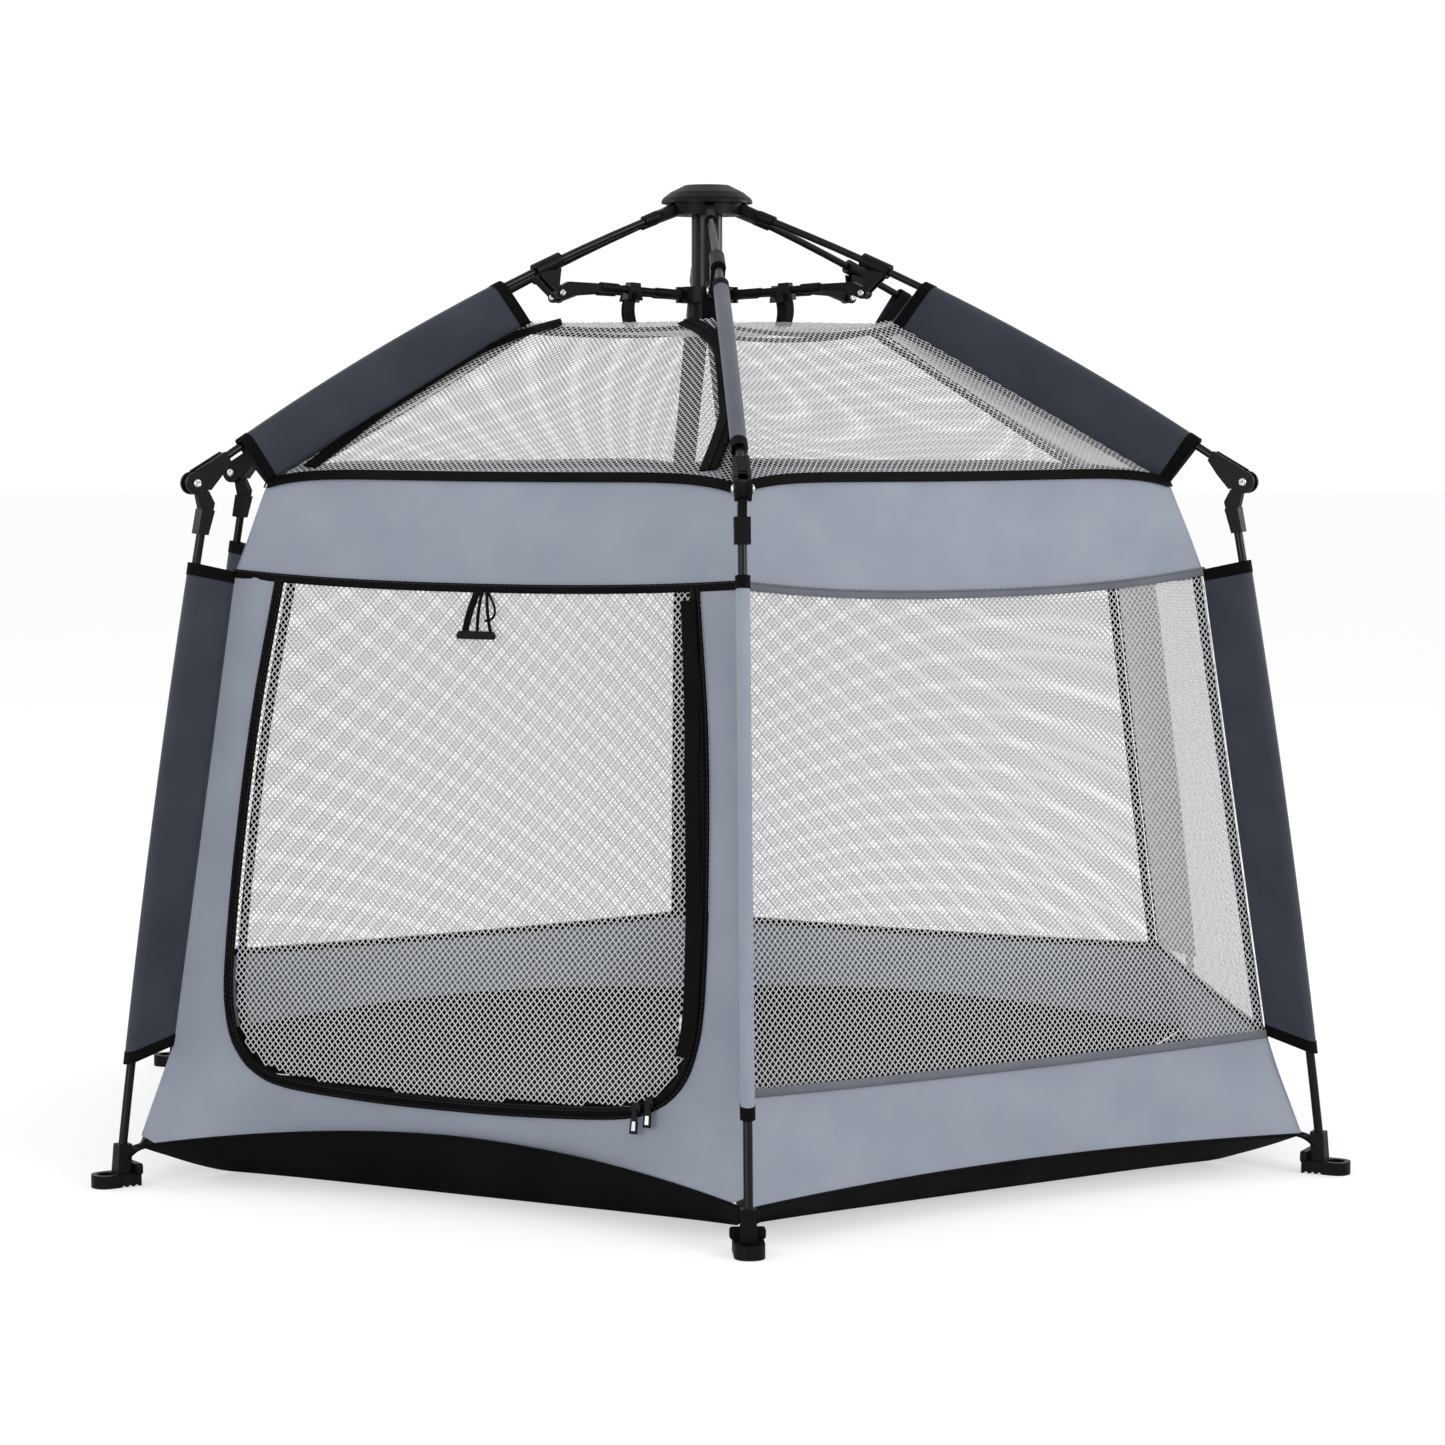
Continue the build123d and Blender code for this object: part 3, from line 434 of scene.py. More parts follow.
def sleeve_loops(corner, kind, shares, grow, ripple, radius):
    """Rows of points round a rod, each loop closing at the seam behind it."""
    rows = []
    for i, ((r, z), (sr, sz)) in enumerate(rod_and_seam(kind, t) for t in shares):
        depth = math.hypot(r - sr, z - sz)
        ir, iz = (r - sr) / depth, (z - sz) / depth
        loop = []
        for u in np.linspace(0, 1, 9)[:-1]:
            loop.append((u * depth, -(SEAM_HALF + (radius - SEAM_HALF) * u**0.9) - grow))
        for a in np.radians(np.linspace(-90, 90, 15)):
            loop.append((depth + (radius + grow) * math.cos(a), (radius + grow) * math.sin(a)))
        for u in np.linspace(1, 0, 9)[1:]:
            loop.append((u * depth, SEAM_HALF + (radius - SEAM_HALF) * u**0.9 + grow))
        for j, (inward, across) in enumerate(loop):
            puff = ripple * math.sin(0.9 * i + 1.7 * corner) * math.sin(math.pi * inward / depth / 1.2)
            across += math.copysign(puff, across)
            rows.append(at_corner(corner, across, sr + ir * inward, sz + iz * inward))
    return np.array(rows).reshape(len(shares), -1, 3)


def grid_faces(rows, columns, closed=False):
    """Quads between rows of points. A closed grid joins each row's last point to its first."""
    faces = []
    for i in range(rows - 1):
        for j in range(columns if closed else columns - 1):
            n = (j + 1) % columns
            faces.append((i * columns + j, i * columns + n, (i + 1) * columns + n, (i + 1) * columns + j))
    return faces


def lengths(points, axis):
    """Running length along one axis of a grid of points, for a UV in metres."""
    step = np.linalg.norm(np.diff(points, axis=axis), axis=-1)
    pad = [(0, 0), (0, 0)]
    pad[axis] = (1, 0)
    return np.cumsum(np.pad(step, pad), axis=axis)


def tube_of_rows(name, rows, material):
    """An open sleeve from closed loops, with a UV round and along it."""
    n, m = rows.shape[:2]
    closed = np.concatenate([rows, rows[:, :1]], 1)
    uv = np.stack([lengths(closed, 1), lengths(closed, 0)], -1)
    return mesh_piece(name, closed, grid_faces(n, m + 1), material, uv)


def joined(name, parts):
    """Several finished meshes as one object."""
    bm = bmesh.new()
    for part in parts:
        bm.from_mesh(part.data)
    mesh = bpy.data.meshes.new(name)
    bm.to_mesh(mesh)
    bm.free()
    for material in parts[0].data.materials:
        mesh.materials.append(material)
    for part in parts:
        bpy.data.objects.remove(part)
    piece = bpy.data.objects.new(name, mesh)
    scene.collection.objects.link(piece)
    return piece


# The front corner's sleeves are drawn lighter than the rest: the roof sleeve in a paler copy of the slate cloth and
# the leg sleeve in the bands' grey. This is painted light for the light that falls on that corner.
lit_front_sleeve_finish = {"leg": grey_cloth, "roof": slate_painted_lit}
for k, corner in enumerate(corner_names):
    for kind, rows_n in (("roof", 26), ("leg", 34)):
        snug = 0.0066 if k == 0 and kind == "leg" else 0.0078
        finish_here = lit_front_sleeve_finish[kind] if k == 0 else slate_cloth
        rows = sleeve_loops(k, kind, np.linspace(0, 1, rows_n), 0.0, 0.0004, snug)
        sleeve = tube_of_rows(f"{kind}_sleeve_cloth_{corner}", rows, finish_here)
        span = math.dist(rod_and_seam(kind, 0.0)[0], rod_and_seam(kind, 1.0)[0])
        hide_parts(f"{kind}_sleeve_{corner}")
        ends = []
        for first in (0.0, 1.0 - END_TAPE / span):
            loop = sleeve_loops(k, kind, first + END_TAPE / span * np.linspace(0, 1, 4), 0.0007, 0.0, snug)
            ends.append(tube_of_rows("end", loop, black_tape))
        binding = joined(f"{kind}_sleeve_ends_{corner}", ends)
        cloth_slot = "grey_cloth" if finish_here is grey_cloth else "sleeve_cloth"
        for piece, finish in ((sleeve, cloth_slot), (binding, "webbing")):
            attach(piece, f"{'arm' if kind == 'roof' else 'leg'}_{corner}")

# ---- How the tent's cloth gathers -------------------------------------------------------------
# The tent is sewn from long panels. When the frame folds, the cloth is drawn in toward the post,
# so each panel is cut into narrow strips round the hexagon, each a part of its own.
STRIPS, NARROWEST, DRAWN = 24, 0.0115, 0.17


def faces_of(piece):
    """A mesh's points, its faces' first loops and loop counts, and each loop's point."""
    mesh = piece.data
    points = np.empty(len(mesh.vertices) * 3, np.float32)
    mesh.vertices.foreach_get("co", points)
    starts = np.empty(len(mesh.polygons), np.int32)
    totals = np.empty(len(mesh.polygons), np.int32)
    mesh.polygons.foreach_get("loop_start", starts)
    mesh.polygons.foreach_get("loop_total", totals)
    corners_at = np.empty(len(mesh.loops), np.int32)
    mesh.loops.foreach_get("vertex_index", corners_at)
    return points.reshape(-1, 3), starts, totals, corners_at


def area_of(piece):
    """A piece's whole area."""
    area = np.empty(len(piece.data.polygons), np.float32)
    piece.data.polygons.foreach_get("area", area)
    return float(area.sum())


def draw_in(piece):
    """Gives a piece its own copy of its mesh."""
    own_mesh(piece)


def gather(piece, body, replaces=(), sheet=True, one_face=1.0):
    """Shares a sewn piece among the strips round the hexagon, each a part of its own on the given body."""
    points, starts, totals, corners_at = faces_of(piece)
    materials = list(piece.data.materials)
    smooth = piece.data.polygons[0].use_smooth if len(piece.data.polygons) else True
    layer = piece.data.uv_layers.get("cut")
    uv = None
    if layer:
        uv = np.empty(len(corners_at) * 2, np.float32)
        layer.data.foreach_get("uv", uv)
        uv = uv.reshape(-1, 2)
    owner = np.repeat(np.arange(len(starts)), totals)
    centre = np.zeros((len(starts), 3))
    np.add.at(centre, owner, points[corners_at])
    centre /= totals[:, None]
    angle = np.degrees(np.arctan2(centre[:, 0], -centre[:, 1])) % 360
    strip = (angle // (360 / STRIPS)).astype(int) % STRIPS
    sizes = np.empty(len(starts), np.float32)
    piece.data.polygons.foreach_get("area", sizes)
    share_of = np.bincount(strip, sizes, STRIPS)
    for number in np.flatnonzero(share_of > 0) if sheet else ():
        tall = max(0.02, float(np.ptp(centre[strip == number], axis=0).max()))
        if share_of[number] * one_face / tall < NARROWEST:
            sides_of = [(number - 1) % STRIPS, (number + 1) % STRIPS]
            strip[strip == number] = max(sides_of, key=lambda other: share_of[other])
    made = []
    for number in np.unique(strip):
        mine = strip == number
        loops = mine[owner]
        used, index = np.unique(corners_at[loops], return_inverse=True)
        mesh = bpy.data.meshes.new(f"{piece.name}_{number:02d}")
        mesh.vertices.add(len(used))
        mesh.vertices.foreach_set("co", points[used].ravel())
        mesh.loops.add(len(index))
        mesh.loops.foreach_set("vertex_index", index.astype(np.int32))
        mesh.polygons.add(int(mine.sum()))
        first_loops = np.concatenate([[0], np.cumsum(totals[mine])[:-1]])
        mesh.polygons.foreach_set("loop_start", first_loops.astype(np.int32))
        if uv is not None:
            mesh.uv_layers.new(name="cut").data.foreach_set("uv", uv[loops].ravel())
        mesh.update(calc_edges=True)
        mesh.validate()
        mesh.polygons.foreach_set("use_smooth", np.full(len(mesh.polygons), smooth))
        for material in materials:
            mesh.materials.append(material)
        part = bpy.data.objects.new(mesh.name, mesh)
        scene.collection.objects.link(part)
        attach(part, body)
        draw_in(part)
        made.append(part)
        if sheet:
            area = area_of(part) * one_face
    for node in replaces:
        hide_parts(node)
    bpy.data.objects.remove(piece)
    return made


# ---- Floor ------------------------------------------------------------------------------------
# The floor is a black coated cloth tray. It lies flat to a hexagon on the ground and rises to the
# hem of the bands, which the foot straps pull outwards at each corner.
TIP, GROUND = (0.6850, 0.0410), (0.5800, 0.0012)
COS30 = math.cos(math.radians(30))
HEM_SAMPLES = 33
hem_share = np.linspace(-1, 1, HEM_SAMPLES)
hem_mid = [(0.570, 0.043), (0.559, 0.060), (0.557, 0.063), (0.557, 0.063), (0.557, 0.063), (0.556, 0.070)]


def on_side(side, s, out, z):
    """Points at s along a side, out from the post's axis and z up, as an array of (x, y, z)."""
    a = math.radians(60 * side + 30)
    s, out, z = np.broadcast_arrays(s, out, z)
    return np.stack([out * math.sin(a) + s * math.cos(a), s * math.sin(a) - out * math.cos(a), z], -1)


def hem_line(side, grow=0.0):
    """The hem between two corners: a curve drawn in and up at the middle of the side."""
    out_mid, z_mid = hem_mid[side]
    shape = 1 - np.abs(hem_share) ** 2.2
    out = TIP[0] * COS30 + (out_mid - TIP[0] * COS30) * shape + grow
    z = TIP[1] - 0.004 + (z_mid - TIP[1] + 0.004) * (1 - np.abs(hem_share) ** 1.8)
    return hem_share * TIP[0] / 2, out, z


tray_points, tray_faces, tray_uv = [], [], []
for side in range(6):
    s, out, z = hem_line(side)
    ground_s = hem_share * GROUND[0] / 2
    ground_out = GROUND[0] * COS30 + 0.006 * np.abs(hem_share) ** 6
    rows = []
    for t in np.linspace(0, 1, 9):
        bulge = 0.010 * math.sin(math.pi * t) * (1 - np.abs(hem_share) ** 4)
        fold = 0.0018 * np.sin(9 * hem_share + 2 * side + 3 * t) * math.sin(math.pi * t)
        rows.append(on_side(side, ground_s + (s - ground_s) * t, ground_out + (out - ground_out) * t + bulge + fold,
                            GROUND[1] + (z - GROUND[1]) * t**1.15))
    for t in (0.66, 0.33, 0.02):
        rows.insert(0, on_side(side, ground_s * t, ground_out * t, GROUND[1]))
    rows = np.array(rows)
    base = sum(len(p) for p in tray_points)
    tray_points.append(rows.reshape(-1, 3))
    tray_faces += [tuple(base + v for v in f) for f in grid_faces(len(rows), HEM_SAMPLES)]
    tray_uv.append(np.stack([rows[..., 0], rows[..., 1] + rows[..., 2]], -1).reshape(-1, 2))
tray = mesh_piece("floor_cloth", np.concatenate(tray_points), tray_faces, floor_cloth,
                  np.concatenate(tray_uv))
gather(tray, "tent_and_hub", ["floor_tray"])

# ---- Lower bands ------------------------------------------------------------------------------
# A blue-grey band runs round the foot of the wall, from the floor's hem to the netting. On the
# door side it climbs beside and under the doorway as one shaped frame.
DOOR, BAND_TOP = 5, 0.139
DOOR_OUTLINE = [
    (-0.225, 0.607), (-0.243, 0.470), (-0.2525, 0.337), (-0.2555, 0.220), (-0.250, 0.172), (-0.238, 0.144),
    (-0.217, 0.126), (-0.181, 0.115), (-0.09, 0.1085), (0, 0.107), (0.09, 0.1085), (0.188, 0.115),
    (0.226, 0.126), (0.2475, 0.144), (0.2595, 0.172), (0.265, 0.220), (0.262, 0.337), (0.2525, 0.470),
    (0.234, 0.607),
]


def seam_r(z):
    """How far the corner seam is from the post's axis at a height."""
    seam = (TIP, WALL_FOOT, WALL_TOP, EAVE)
    return np.interp(z, [p[1] for p in seam], [p[0] for p in seam])


def smooth_line(points, count):
    """A smooth run through points, spaced evenly along it."""
    p = np.asarray(points, float)
    at = np.concatenate([[0], np.cumsum(np.linalg.norm(np.diff(p, axis=0), axis=1))])
    padded = np.vstack([2 * p[0] - p[1], p, 2 * p[-1] - p[-2]])
    result = []
    for d in np.linspace(0, at[-1], count):
        i = min(int(np.searchsorted(at, d, "right")) - 1, len(p) - 2)
        t = (d - at[i]) / (at[i + 1] - at[i])
        a, b, c, e = padded[i : i + 4]
        curve = (2 * a - 5 * b + 4 * c - e) * t**2 + (3 * b - a - 3 * c + e) * t**3
        result.append(0.5 * (2 * b + (c - a) * t + curve))
    return np.array(result)


def wall_out(s, z, side=0):
    """How far the wall cloth stands from the post's axis: flat above, drawn in toward the hem."""
    half = seam_r(z) / 2
    share = np.clip(np.abs(s) / half, 0, 1)
    pull = (TIP[0] * COS30 - hem_mid[side][0]) * (1 - share**2.2)
    low = np.clip((0.150 - z) / 0.09, 0, 1)
    return seam_r(z) * COS30 - pull * low**1.6


def outward_2d(path, centre):
    """Unit steps square to a flat path, away from a point inside it."""
    step = np.gradient(path, axis=0)
    side_step = np.stack([step[:, 1], -step[:, 0]], -1)
    side_step /= np.linalg.norm(side_step, axis=1)[:, None]
    return side_step * np.sign(np.sum(side_step * (path - centre), axis=1))[:, None]


def grid_uv(rows):
    """A UV in metres across and along a grid of points."""
    return np.stack([lengths(rows, 1), lengths(rows, 0)], -1)


FRAME_SAMPLES, ZIP_ROOM = 97, 0.0105
for side in range(6):
    s_hem, out_hem, z_hem = hem_line(side)
    rows = []
    if side == DOOR:
        inner = smooth_line(DOOR_OUTLINE, FRAME_SAMPLES)
        inner = inner + ZIP_ROOM * outward_2d(inner, np.array([0.0, 0.34]))
        inner[0, 1] = inner[-1, 1] = DOOR_OUTLINE[0][1]
        left = [(-seam_r(z) / 2 + 0.001, z) for z in np.linspace(0.612, BAND_TOP, 22)]
        left += [(-seam_r(z) / 2, z) for z in np.linspace(0.125, TIP[1], 6)]
        outer = np.array(left + list(zip(s_hem[1:-1], z_hem[1:-1])) + [(-s, z) for s, z in left[::-1]])
        reach = np.concatenate([[0], np.cumsum(np.linalg.norm(np.diff(outer, axis=0), axis=1))])
        reach /= reach[-1]
        foot_at = float(reach[len(left) - 1])
        match = np.interp(np.linspace(0, 1, FRAME_SAMPLES), [0, 0.32, 0.39, 0.5, 0.61, 0.68, 1],
                          [0, foot_at * 0.80, foot_at, 0.5, 1 - foot_at, 1 - foot_at * 0.80, 1])
        outer = np.stack([np.interp(match, reach, outer[:, 0]), np.interp(match, reach, outer[:, 1])], -1)
        flat = np.stack([inner + (outer - inner) * t for t in np.linspace(0, 1, 13)])
        for t, p in zip(np.linspace(0, 1, 13), flat):
            ripple = 0.0012 * np.sin(14 * p[:, 0] + 9 * p[:, 1]) * math.sin(math.pi * t)
            rows.append(on_side(side, p[:, 0], wall_out(p[:, 0], p[:, 1], side) + ripple + 0.0005, p[:, 1]))
    else:
        for t in np.linspace(0, 1, 11):
            z = z_hem + (BAND_TOP - 0.003 * (1 - hem_share**2) - z_hem) * t
            s = hem_share * (seam_r(z_hem) / 2 * (1 - t) + seam_r(BAND_TOP) / 2 * t)
            out = out_hem + (seam_r(BAND_TOP) * COS30 - out_hem) * t**0.9
            ripple = 0.0014 * np.sin(8 * hem_share + 3 * side + 4 * t) * math.sin(math.pi * t)
            rows.append(on_side(side, s, out + ripple, z))
        flat = grid_uv(np.array(rows))
    band = mesh_piece(f"lower_band_{side}", rows, grid_faces(*flat.shape[:2]), grey_cloth, flat)
    gather(band, "tent_and_hub", ["lower_bands"] if side == 0 else [])

# ---- Upper bands ------------------------------------------------------------------------------
# A wider blue-grey band leans in from the wall to the eave. Its edges dip a little between the
# corners, where the sleeves hold it.
EAVE_RISE, EAVE_SAG = 0.0125, 0.003


def eave_line(share):
    """Eave between two corners: it rises quickly from each corner and sags at the middle."""
    share = np.abs(share)
    z = EAVE[1] + EAVE_RISE * (1 - share**7) - EAVE_SAG * (1 - share**2)
    out = EAVE[0] * COS30 - 0.004 * (1 - share**4)
    return out, z


def band_foot(side, share):
    """Lower edge of the upper band: it hangs lowest at the middle of the side."""
    drop = 0.009 if side == DOOR else 0.0155
    return 0.6145 - drop * (1 - np.abs(share) ** 2.4)


cloth_share = np.linspace(-1, 1, 41)
for side in range(6):
    out_top, z_top = eave_line(cloth_share)
    z_low = band_foot(side, cloth_share)
    rows = []
    for t in np.linspace(0, 1, 13):
        s = cloth_share * (WALL_TOP[0] / 2 + (EAVE[0] - WALL_TOP[0]) / 2 * t)
        out = WALL_TOP[0] * COS30 - 0.001 + (out_top - WALL_TOP[0] * COS30 + 0.001) * t
        belly = 0.004 * math.sin(math.pi * t) * (1 - np.abs(cloth_share) ** 3)
        ripple = 0.0011 * np.sin(7 * cloth_share + 2.3 * side + 3 * t) * math.sin(math.pi * t)
        rows.append(on_side(side, s, out + belly + ripple, z_low + (z_top - z_low) * t))
    rows = np.array(rows)
    band = mesh_piece(f"upper_band_{side}", rows, grid_faces(13, 41), grey_cloth, grid_uv(rows))
    gather(band, "tent_and_hub", ["upper_bands"] if side == 0 else [])

# ---- Netting ----------------------------------------------------------------------------------
# Windows, roof and door are a white diamond warp knit. One tree knits the whole panel: rows of
# four-sided cells, each a flat loop of thread, cut to the panel's own outline.
PITCH, OPEN, TALL = 0.0066, 0.765, 1.12
knit_inputs = {"Geometry": "Geometry", "Width": "Float", "Height": "Float", "Low Half": "Float", "High Half": "Float",
               "Pitch": "Float", "Open": "Float", "Across": "Int", "Rows": "Int", "Thread": "Material"}
knit, k_in, k_out = empty_tree("warp_knit", "GeometryNodeTree", knit_inputs, {"Geometry": "Geometry"})
k_grid = knit.nodes.new("GeometryNodeMeshGrid")
knit.links.new(k_in.outputs["Width"], k_grid.inputs["Size X"])
knit.links.new(k_in.outputs["Height"], k_grid.inputs["Size Y"])
knit.links.new(k_in.outputs["Across"], k_grid.inputs["Vertices X"])
knit.links.new(k_in.outputs["Rows"], k_grid.inputs["Vertices Y"])
k_place = knit.nodes.new("GeometryNodeInputPosition")
k_xyz = knit.nodes.new("ShaderNodeSeparateXYZ")
knit.links.new(k_place.outputs[0], k_xyz.inputs[0])
row_gaps = math_node(knit, "SUBTRACT", k_in.outputs["Rows"], 1.0)
row_step = math_node(knit, "DIVIDE", k_in.outputs["Height"], row_gaps)
half_height = math_node(knit, "MULTIPLY", k_in.outputs["Height"], 0.5)
from_foot = math_node(knit, "ADD", k_xyz.outputs[1], half_height)
row_number = math_node(knit, "ROUND", math_node(knit, "DIVIDE", from_foot, row_step))
odd = math_node(knit, "MODULO", row_number, 2.0)
shift = math_node(knit, "MULTIPLY", odd, math_node(knit, "MULTIPLY", k_in.outputs["Pitch"], 0.5))
k_move = knit.nodes.new("GeometryNodeSetPosition")
k_offset = knit.nodes.new("ShaderNodeCombineXYZ")
knit.links.new(shift, k_offset.inputs[0])
knit.links.new(k_offset.outputs[0], k_move.inputs["Offset"])
knit.links.new(k_grid.outputs["Mesh"], k_move.inputs["Geometry"])
rise = math_node(knit, "DIVIDE", from_foot, k_in.outputs["Height"])
widening = math_node(knit, "SUBTRACT", k_in.outputs["High Half"], k_in.outputs["Low Half"])
half_here = math_node(knit, "ADD", k_in.outputs["Low Half"], math_node(knit, "MULTIPLY", rise, widening))
outside = math_node(knit, "GREATER_THAN", math_node(knit, "ABSOLUTE", k_xyz.outputs[0]), half_here)
k_cut = knit.nodes.new("GeometryNodeDeleteGeometry")
k_cut.domain = "POINT"
knit.links.new(k_move.outputs[0], k_cut.inputs["Geometry"])
knit.links.new(outside, k_cut.inputs["Selection"])
k_hex = knit.nodes.new("GeometryNodeMeshCircle")
k_hex.fill_type = "NGON"
k_hex.inputs["Vertices"].default_value = 4
knit.links.new(math_node(knit, "DIVIDE", k_in.outputs["Pitch"], 2.0), k_hex.inputs["Radius"])
k_turn = knit.nodes.new("GeometryNodeTransform")
k_turn.inputs["Scale"].default_value = (1, TALL, 1)
knit.links.new(k_hex.outputs[0], k_turn.inputs["Geometry"])
k_pull = knit.nodes.new("GeometryNodeExtrudeMesh")
k_pull.mode = "FACES"
k_pull.inputs["Offset Scale"].default_value = -0.0003
k_pull.inputs["Individual"].default_value = True
knit.links.new(k_turn.outputs[0], k_pull.inputs["Mesh"])
k_scale = knit.nodes.new("GeometryNodeScaleElements")
knit.links.new(k_pull.outputs["Mesh"], k_scale.inputs["Geometry"])
knit.links.new(k_pull.outputs["Top"], k_scale.inputs["Selection"])
knit.links.new(k_in.outputs["Open"], k_scale.inputs["Scale"])
k_hole = knit.nodes.new("GeometryNodeDeleteGeometry")
k_hole.domain = "FACE"
knit.links.new(k_scale.outputs[0], k_hole.inputs["Geometry"])
knit.links.new(k_pull.outputs["Top"], k_hole.inputs["Selection"])
k_put = knit.nodes.new("GeometryNodeInstanceOnPoints")
knit.links.new(k_cut.outputs[0], k_put.inputs["Points"])
knit.links.new(k_hole.outputs[0], k_put.inputs["Instance"])
k_real = knit.nodes.new("GeometryNodeRealizeInstances")
knit.links.new(k_put.outputs[0], k_real.inputs[0])
k_mat = knit.nodes.new("GeometryNodeSetMaterial")
knit.links.new(k_real.outputs[0], k_mat.inputs["Geometry"])
knit.links.new(k_in.outputs["Thread"], k_mat.inputs["Material"])
knit.links.new(k_mat.outputs[0], k_out.inputs[0])


def knitted(name, width, height, low_half, high_half):
    """A flat knitted panel about its own middle, as a finished object and its points."""
    across = int(width / PITCH) + 2
    rows = int(height / (PITCH * TALL / 2)) + 1
    seed = bpy.data.objects.new(name, bpy.data.meshes.new(name))
    scene.collection.objects.link(seed)
    grown(seed, knit, Width=(across - 1) * PITCH, Height=float(height), Low_Half=float(low_half),
          High_Half=float(high_half), Pitch=PITCH, Open=OPEN, Across=across, Rows=rows, Thread=white_knit)
    points = np.empty(len(seed.data.vertices) * 3, np.float32)
    seed.data.vertices.foreach_get("co", points)
    return seed, points.reshape(-1, 3).astype(float)


def put_points(piece, points):
    """Lays a flat panel's points in their places."""
    piece.data.vertices.foreach_set("co", np.asarray(points, np.float32).ravel())
    piece.data.update()


def keep_where(piece, keep):
    """Cuts away the points that fall outside a panel's outline."""
    bm = bmesh.new()
    bm.from_mesh(piece.data)
    bmesh.ops.delete(bm, geom=[v for v, k in zip(list(bm.verts), keep) if not k], context="VERTS")
    bm.to_mesh(piece.data)
    bm.free()


NET_FOOT = 0.134
WALL_NET = math.hypot(0.478, (WALL_FOOT[0] - WALL_TOP[0]) * COS30)
for side in range(6):
    if side == DOOR:
        continue
    net, p = knitted(f"window_net_{side}", 0.66, WALL_NET, WALL_FOOT[0] / 2 - 0.003, WALL_TOP[0] / 2 - 0.003)
    t = p[:, 1] / WALL_NET + 0.5
    half = (WALL_FOOT[0] + (WALL_TOP[0] - WALL_FOOT[0]) * t) / 2
    sag = 0.006 * np.sin(math.pi * np.clip(t, 0, 1)) * (1 - np.clip(np.abs(p[:, 0]) / half, 0, 1) ** 2)
    out = (WALL_FOOT[0] + (WALL_TOP[0] - WALL_FOOT[0]) * t) * COS30 - sag + p[:, 2]
    net_top = band_foot(side, p[:, 0] / half) + 0.001
    put_points(net, on_side(side, p[:, 0], out - 0.001, NET_FOOT + (net_top - NET_FOOT) * t))
    gather(net, "tent_and_hub", ["window_nets"] if side == 0 else [])

ROOF_SLANT = math.hypot(ROOF_TOP[1] - EAVE[1], (EAVE[0] - ROOF_TOP[0]) * COS30)


def roof_points(side, x, t, lift=0.0):
    """A point of the roof panel at x along the side and share t from the eave to the top."""
    half = EAVE[0] / 2 + (ROOF_TOP[0] - EAVE[0]) / 2 * t
    share = np.clip(np.abs(x) / half, 0, 1)
    out_low, z_low = eave_line(share)
    sag = 0.010 * np.sin(math.pi * np.clip(t, 0, 1)) * (1 - share**2)
    top_dip = (0.009 if side in (0, 2) else 0.004) * (1 - share**2) * t
    out = out_low + (ROOF_TOP[0] * COS30 - out_low) * t - 0.5 * sag
    z = z_low + (ROOF_TOP[1] + 0.002 - z_low) * t - 0.87 * sag - top_dip + lift
    return on_side(side, x, out, z)


for side in range(6):
    net, p = knitted(f"roof_net_{side}", 0.54, ROOF_SLANT, EAVE[0] / 2 - 0.003, ROOF_TOP[0] / 2 - 0.003)
    t = p[:, 1] / ROOF_SLANT + 0.5
    put_points(net, roof_points(side, p[:, 0], t, p[:, 2]))
    if side == DOOR:
        gather(net, "flap", ["roof_flap"])
    else:
        gather(net, "tent_and_hub", ["roof_nets"] if side == 0 else [])

net, p = knitted("top_net_cloth", 0.45, 0.386, 0.24, 0.24)
r = np.hypot(p[:, 0], p[:, 1])
a = np.arctan2(p[:, 0], -p[:, 1])
share = r * np.cos(a % math.radians(60) - math.radians(30)) / (ROOF_TOP[0] * COS30)
drop = 0.012 * (1 - np.clip(share, 0, 1) ** 2)
put_points(net, np.stack([p[:, 0], p[:, 1], ROOF_TOP[1] - drop + p[:, 2]], -1))
keep_where(net, (share < 1.0) & (r > 0.004))
gather(net, "tent_and_hub", ["top_net"])

# ---- Bindings and stitches --------------------------------------------------------------------
# Folded tape covers every cut edge: black at the eave, the roof's top and over the doorway, grey
# beside the windows. A row of stitches runs along each, and a thin cord closes the floor's hem.
stitching, s_in, s_out = empty_tree(
    "stitch_row", "GeometryNodeTree",
    {"Geometry": "Geometry", "Spacing": "Float", "Stitch Length": "Float", "Thread Radius": "Float",
     "Thread": "Material"},
    {"Geometry": "Geometry"},
)
s_curve = stitching.nodes.new("GeometryNodeMeshToCurve")
s_points = stitching.nodes.new("GeometryNodeResampleCurve")
s_points.mode = "LENGTH"
s_put = stitching.nodes.new("GeometryNodeInstanceOnPoints")
s_tangent = stitching.nodes.new("GeometryNodeInputTangent")
s_turn = stitching.nodes.new("FunctionNodeAlignEulerToVector")
s_turn.axis = "Z"
s_form = stitching.nodes.new("GeometryNodeMeshCylinder")
s_form.inputs["Vertices"].default_value = 5
s_real = stitching.nodes.new("GeometryNodeRealizeInstances")
s_mat = stitching.nodes.new("GeometryNodeSetMaterial")
for a, b in (
    (s_in.outputs["Geometry"], s_curve.inputs[0]),
    (s_curve.outputs[0], s_points.inputs["Curve"]),
    (s_in.outputs["Spacing"], s_points.inputs["Length"]),
    (s_points.outputs[0], s_put.inputs["Points"]),
    (s_tangent.outputs[0], s_turn.inputs["Vector"]),
    (s_turn.outputs[0], s_put.inputs["Rotation"]),
    (s_in.outputs["Thread Radius"], s_form.inputs["Radius"]),
    (s_in.outputs["Stitch Length"], s_form.inputs["Depth"]),
    (s_form.outputs[0], s_put.inputs["Instance"]),
    (s_put.outputs[0], s_real.inputs[0]),
    (s_real.outputs[0], s_mat.inputs[0]),
    (s_in.outputs["Thread"], s_mat.inputs["Material"]),
    (s_mat.outputs[0], s_out.inputs[0]),
):
    stitching.links.new(a, b)
thread_black = cloth("black_thread", (0.012, 0.012, 0.013), (0.02, 0.02, 0.022), (0.5, 0.6), 0.0003)
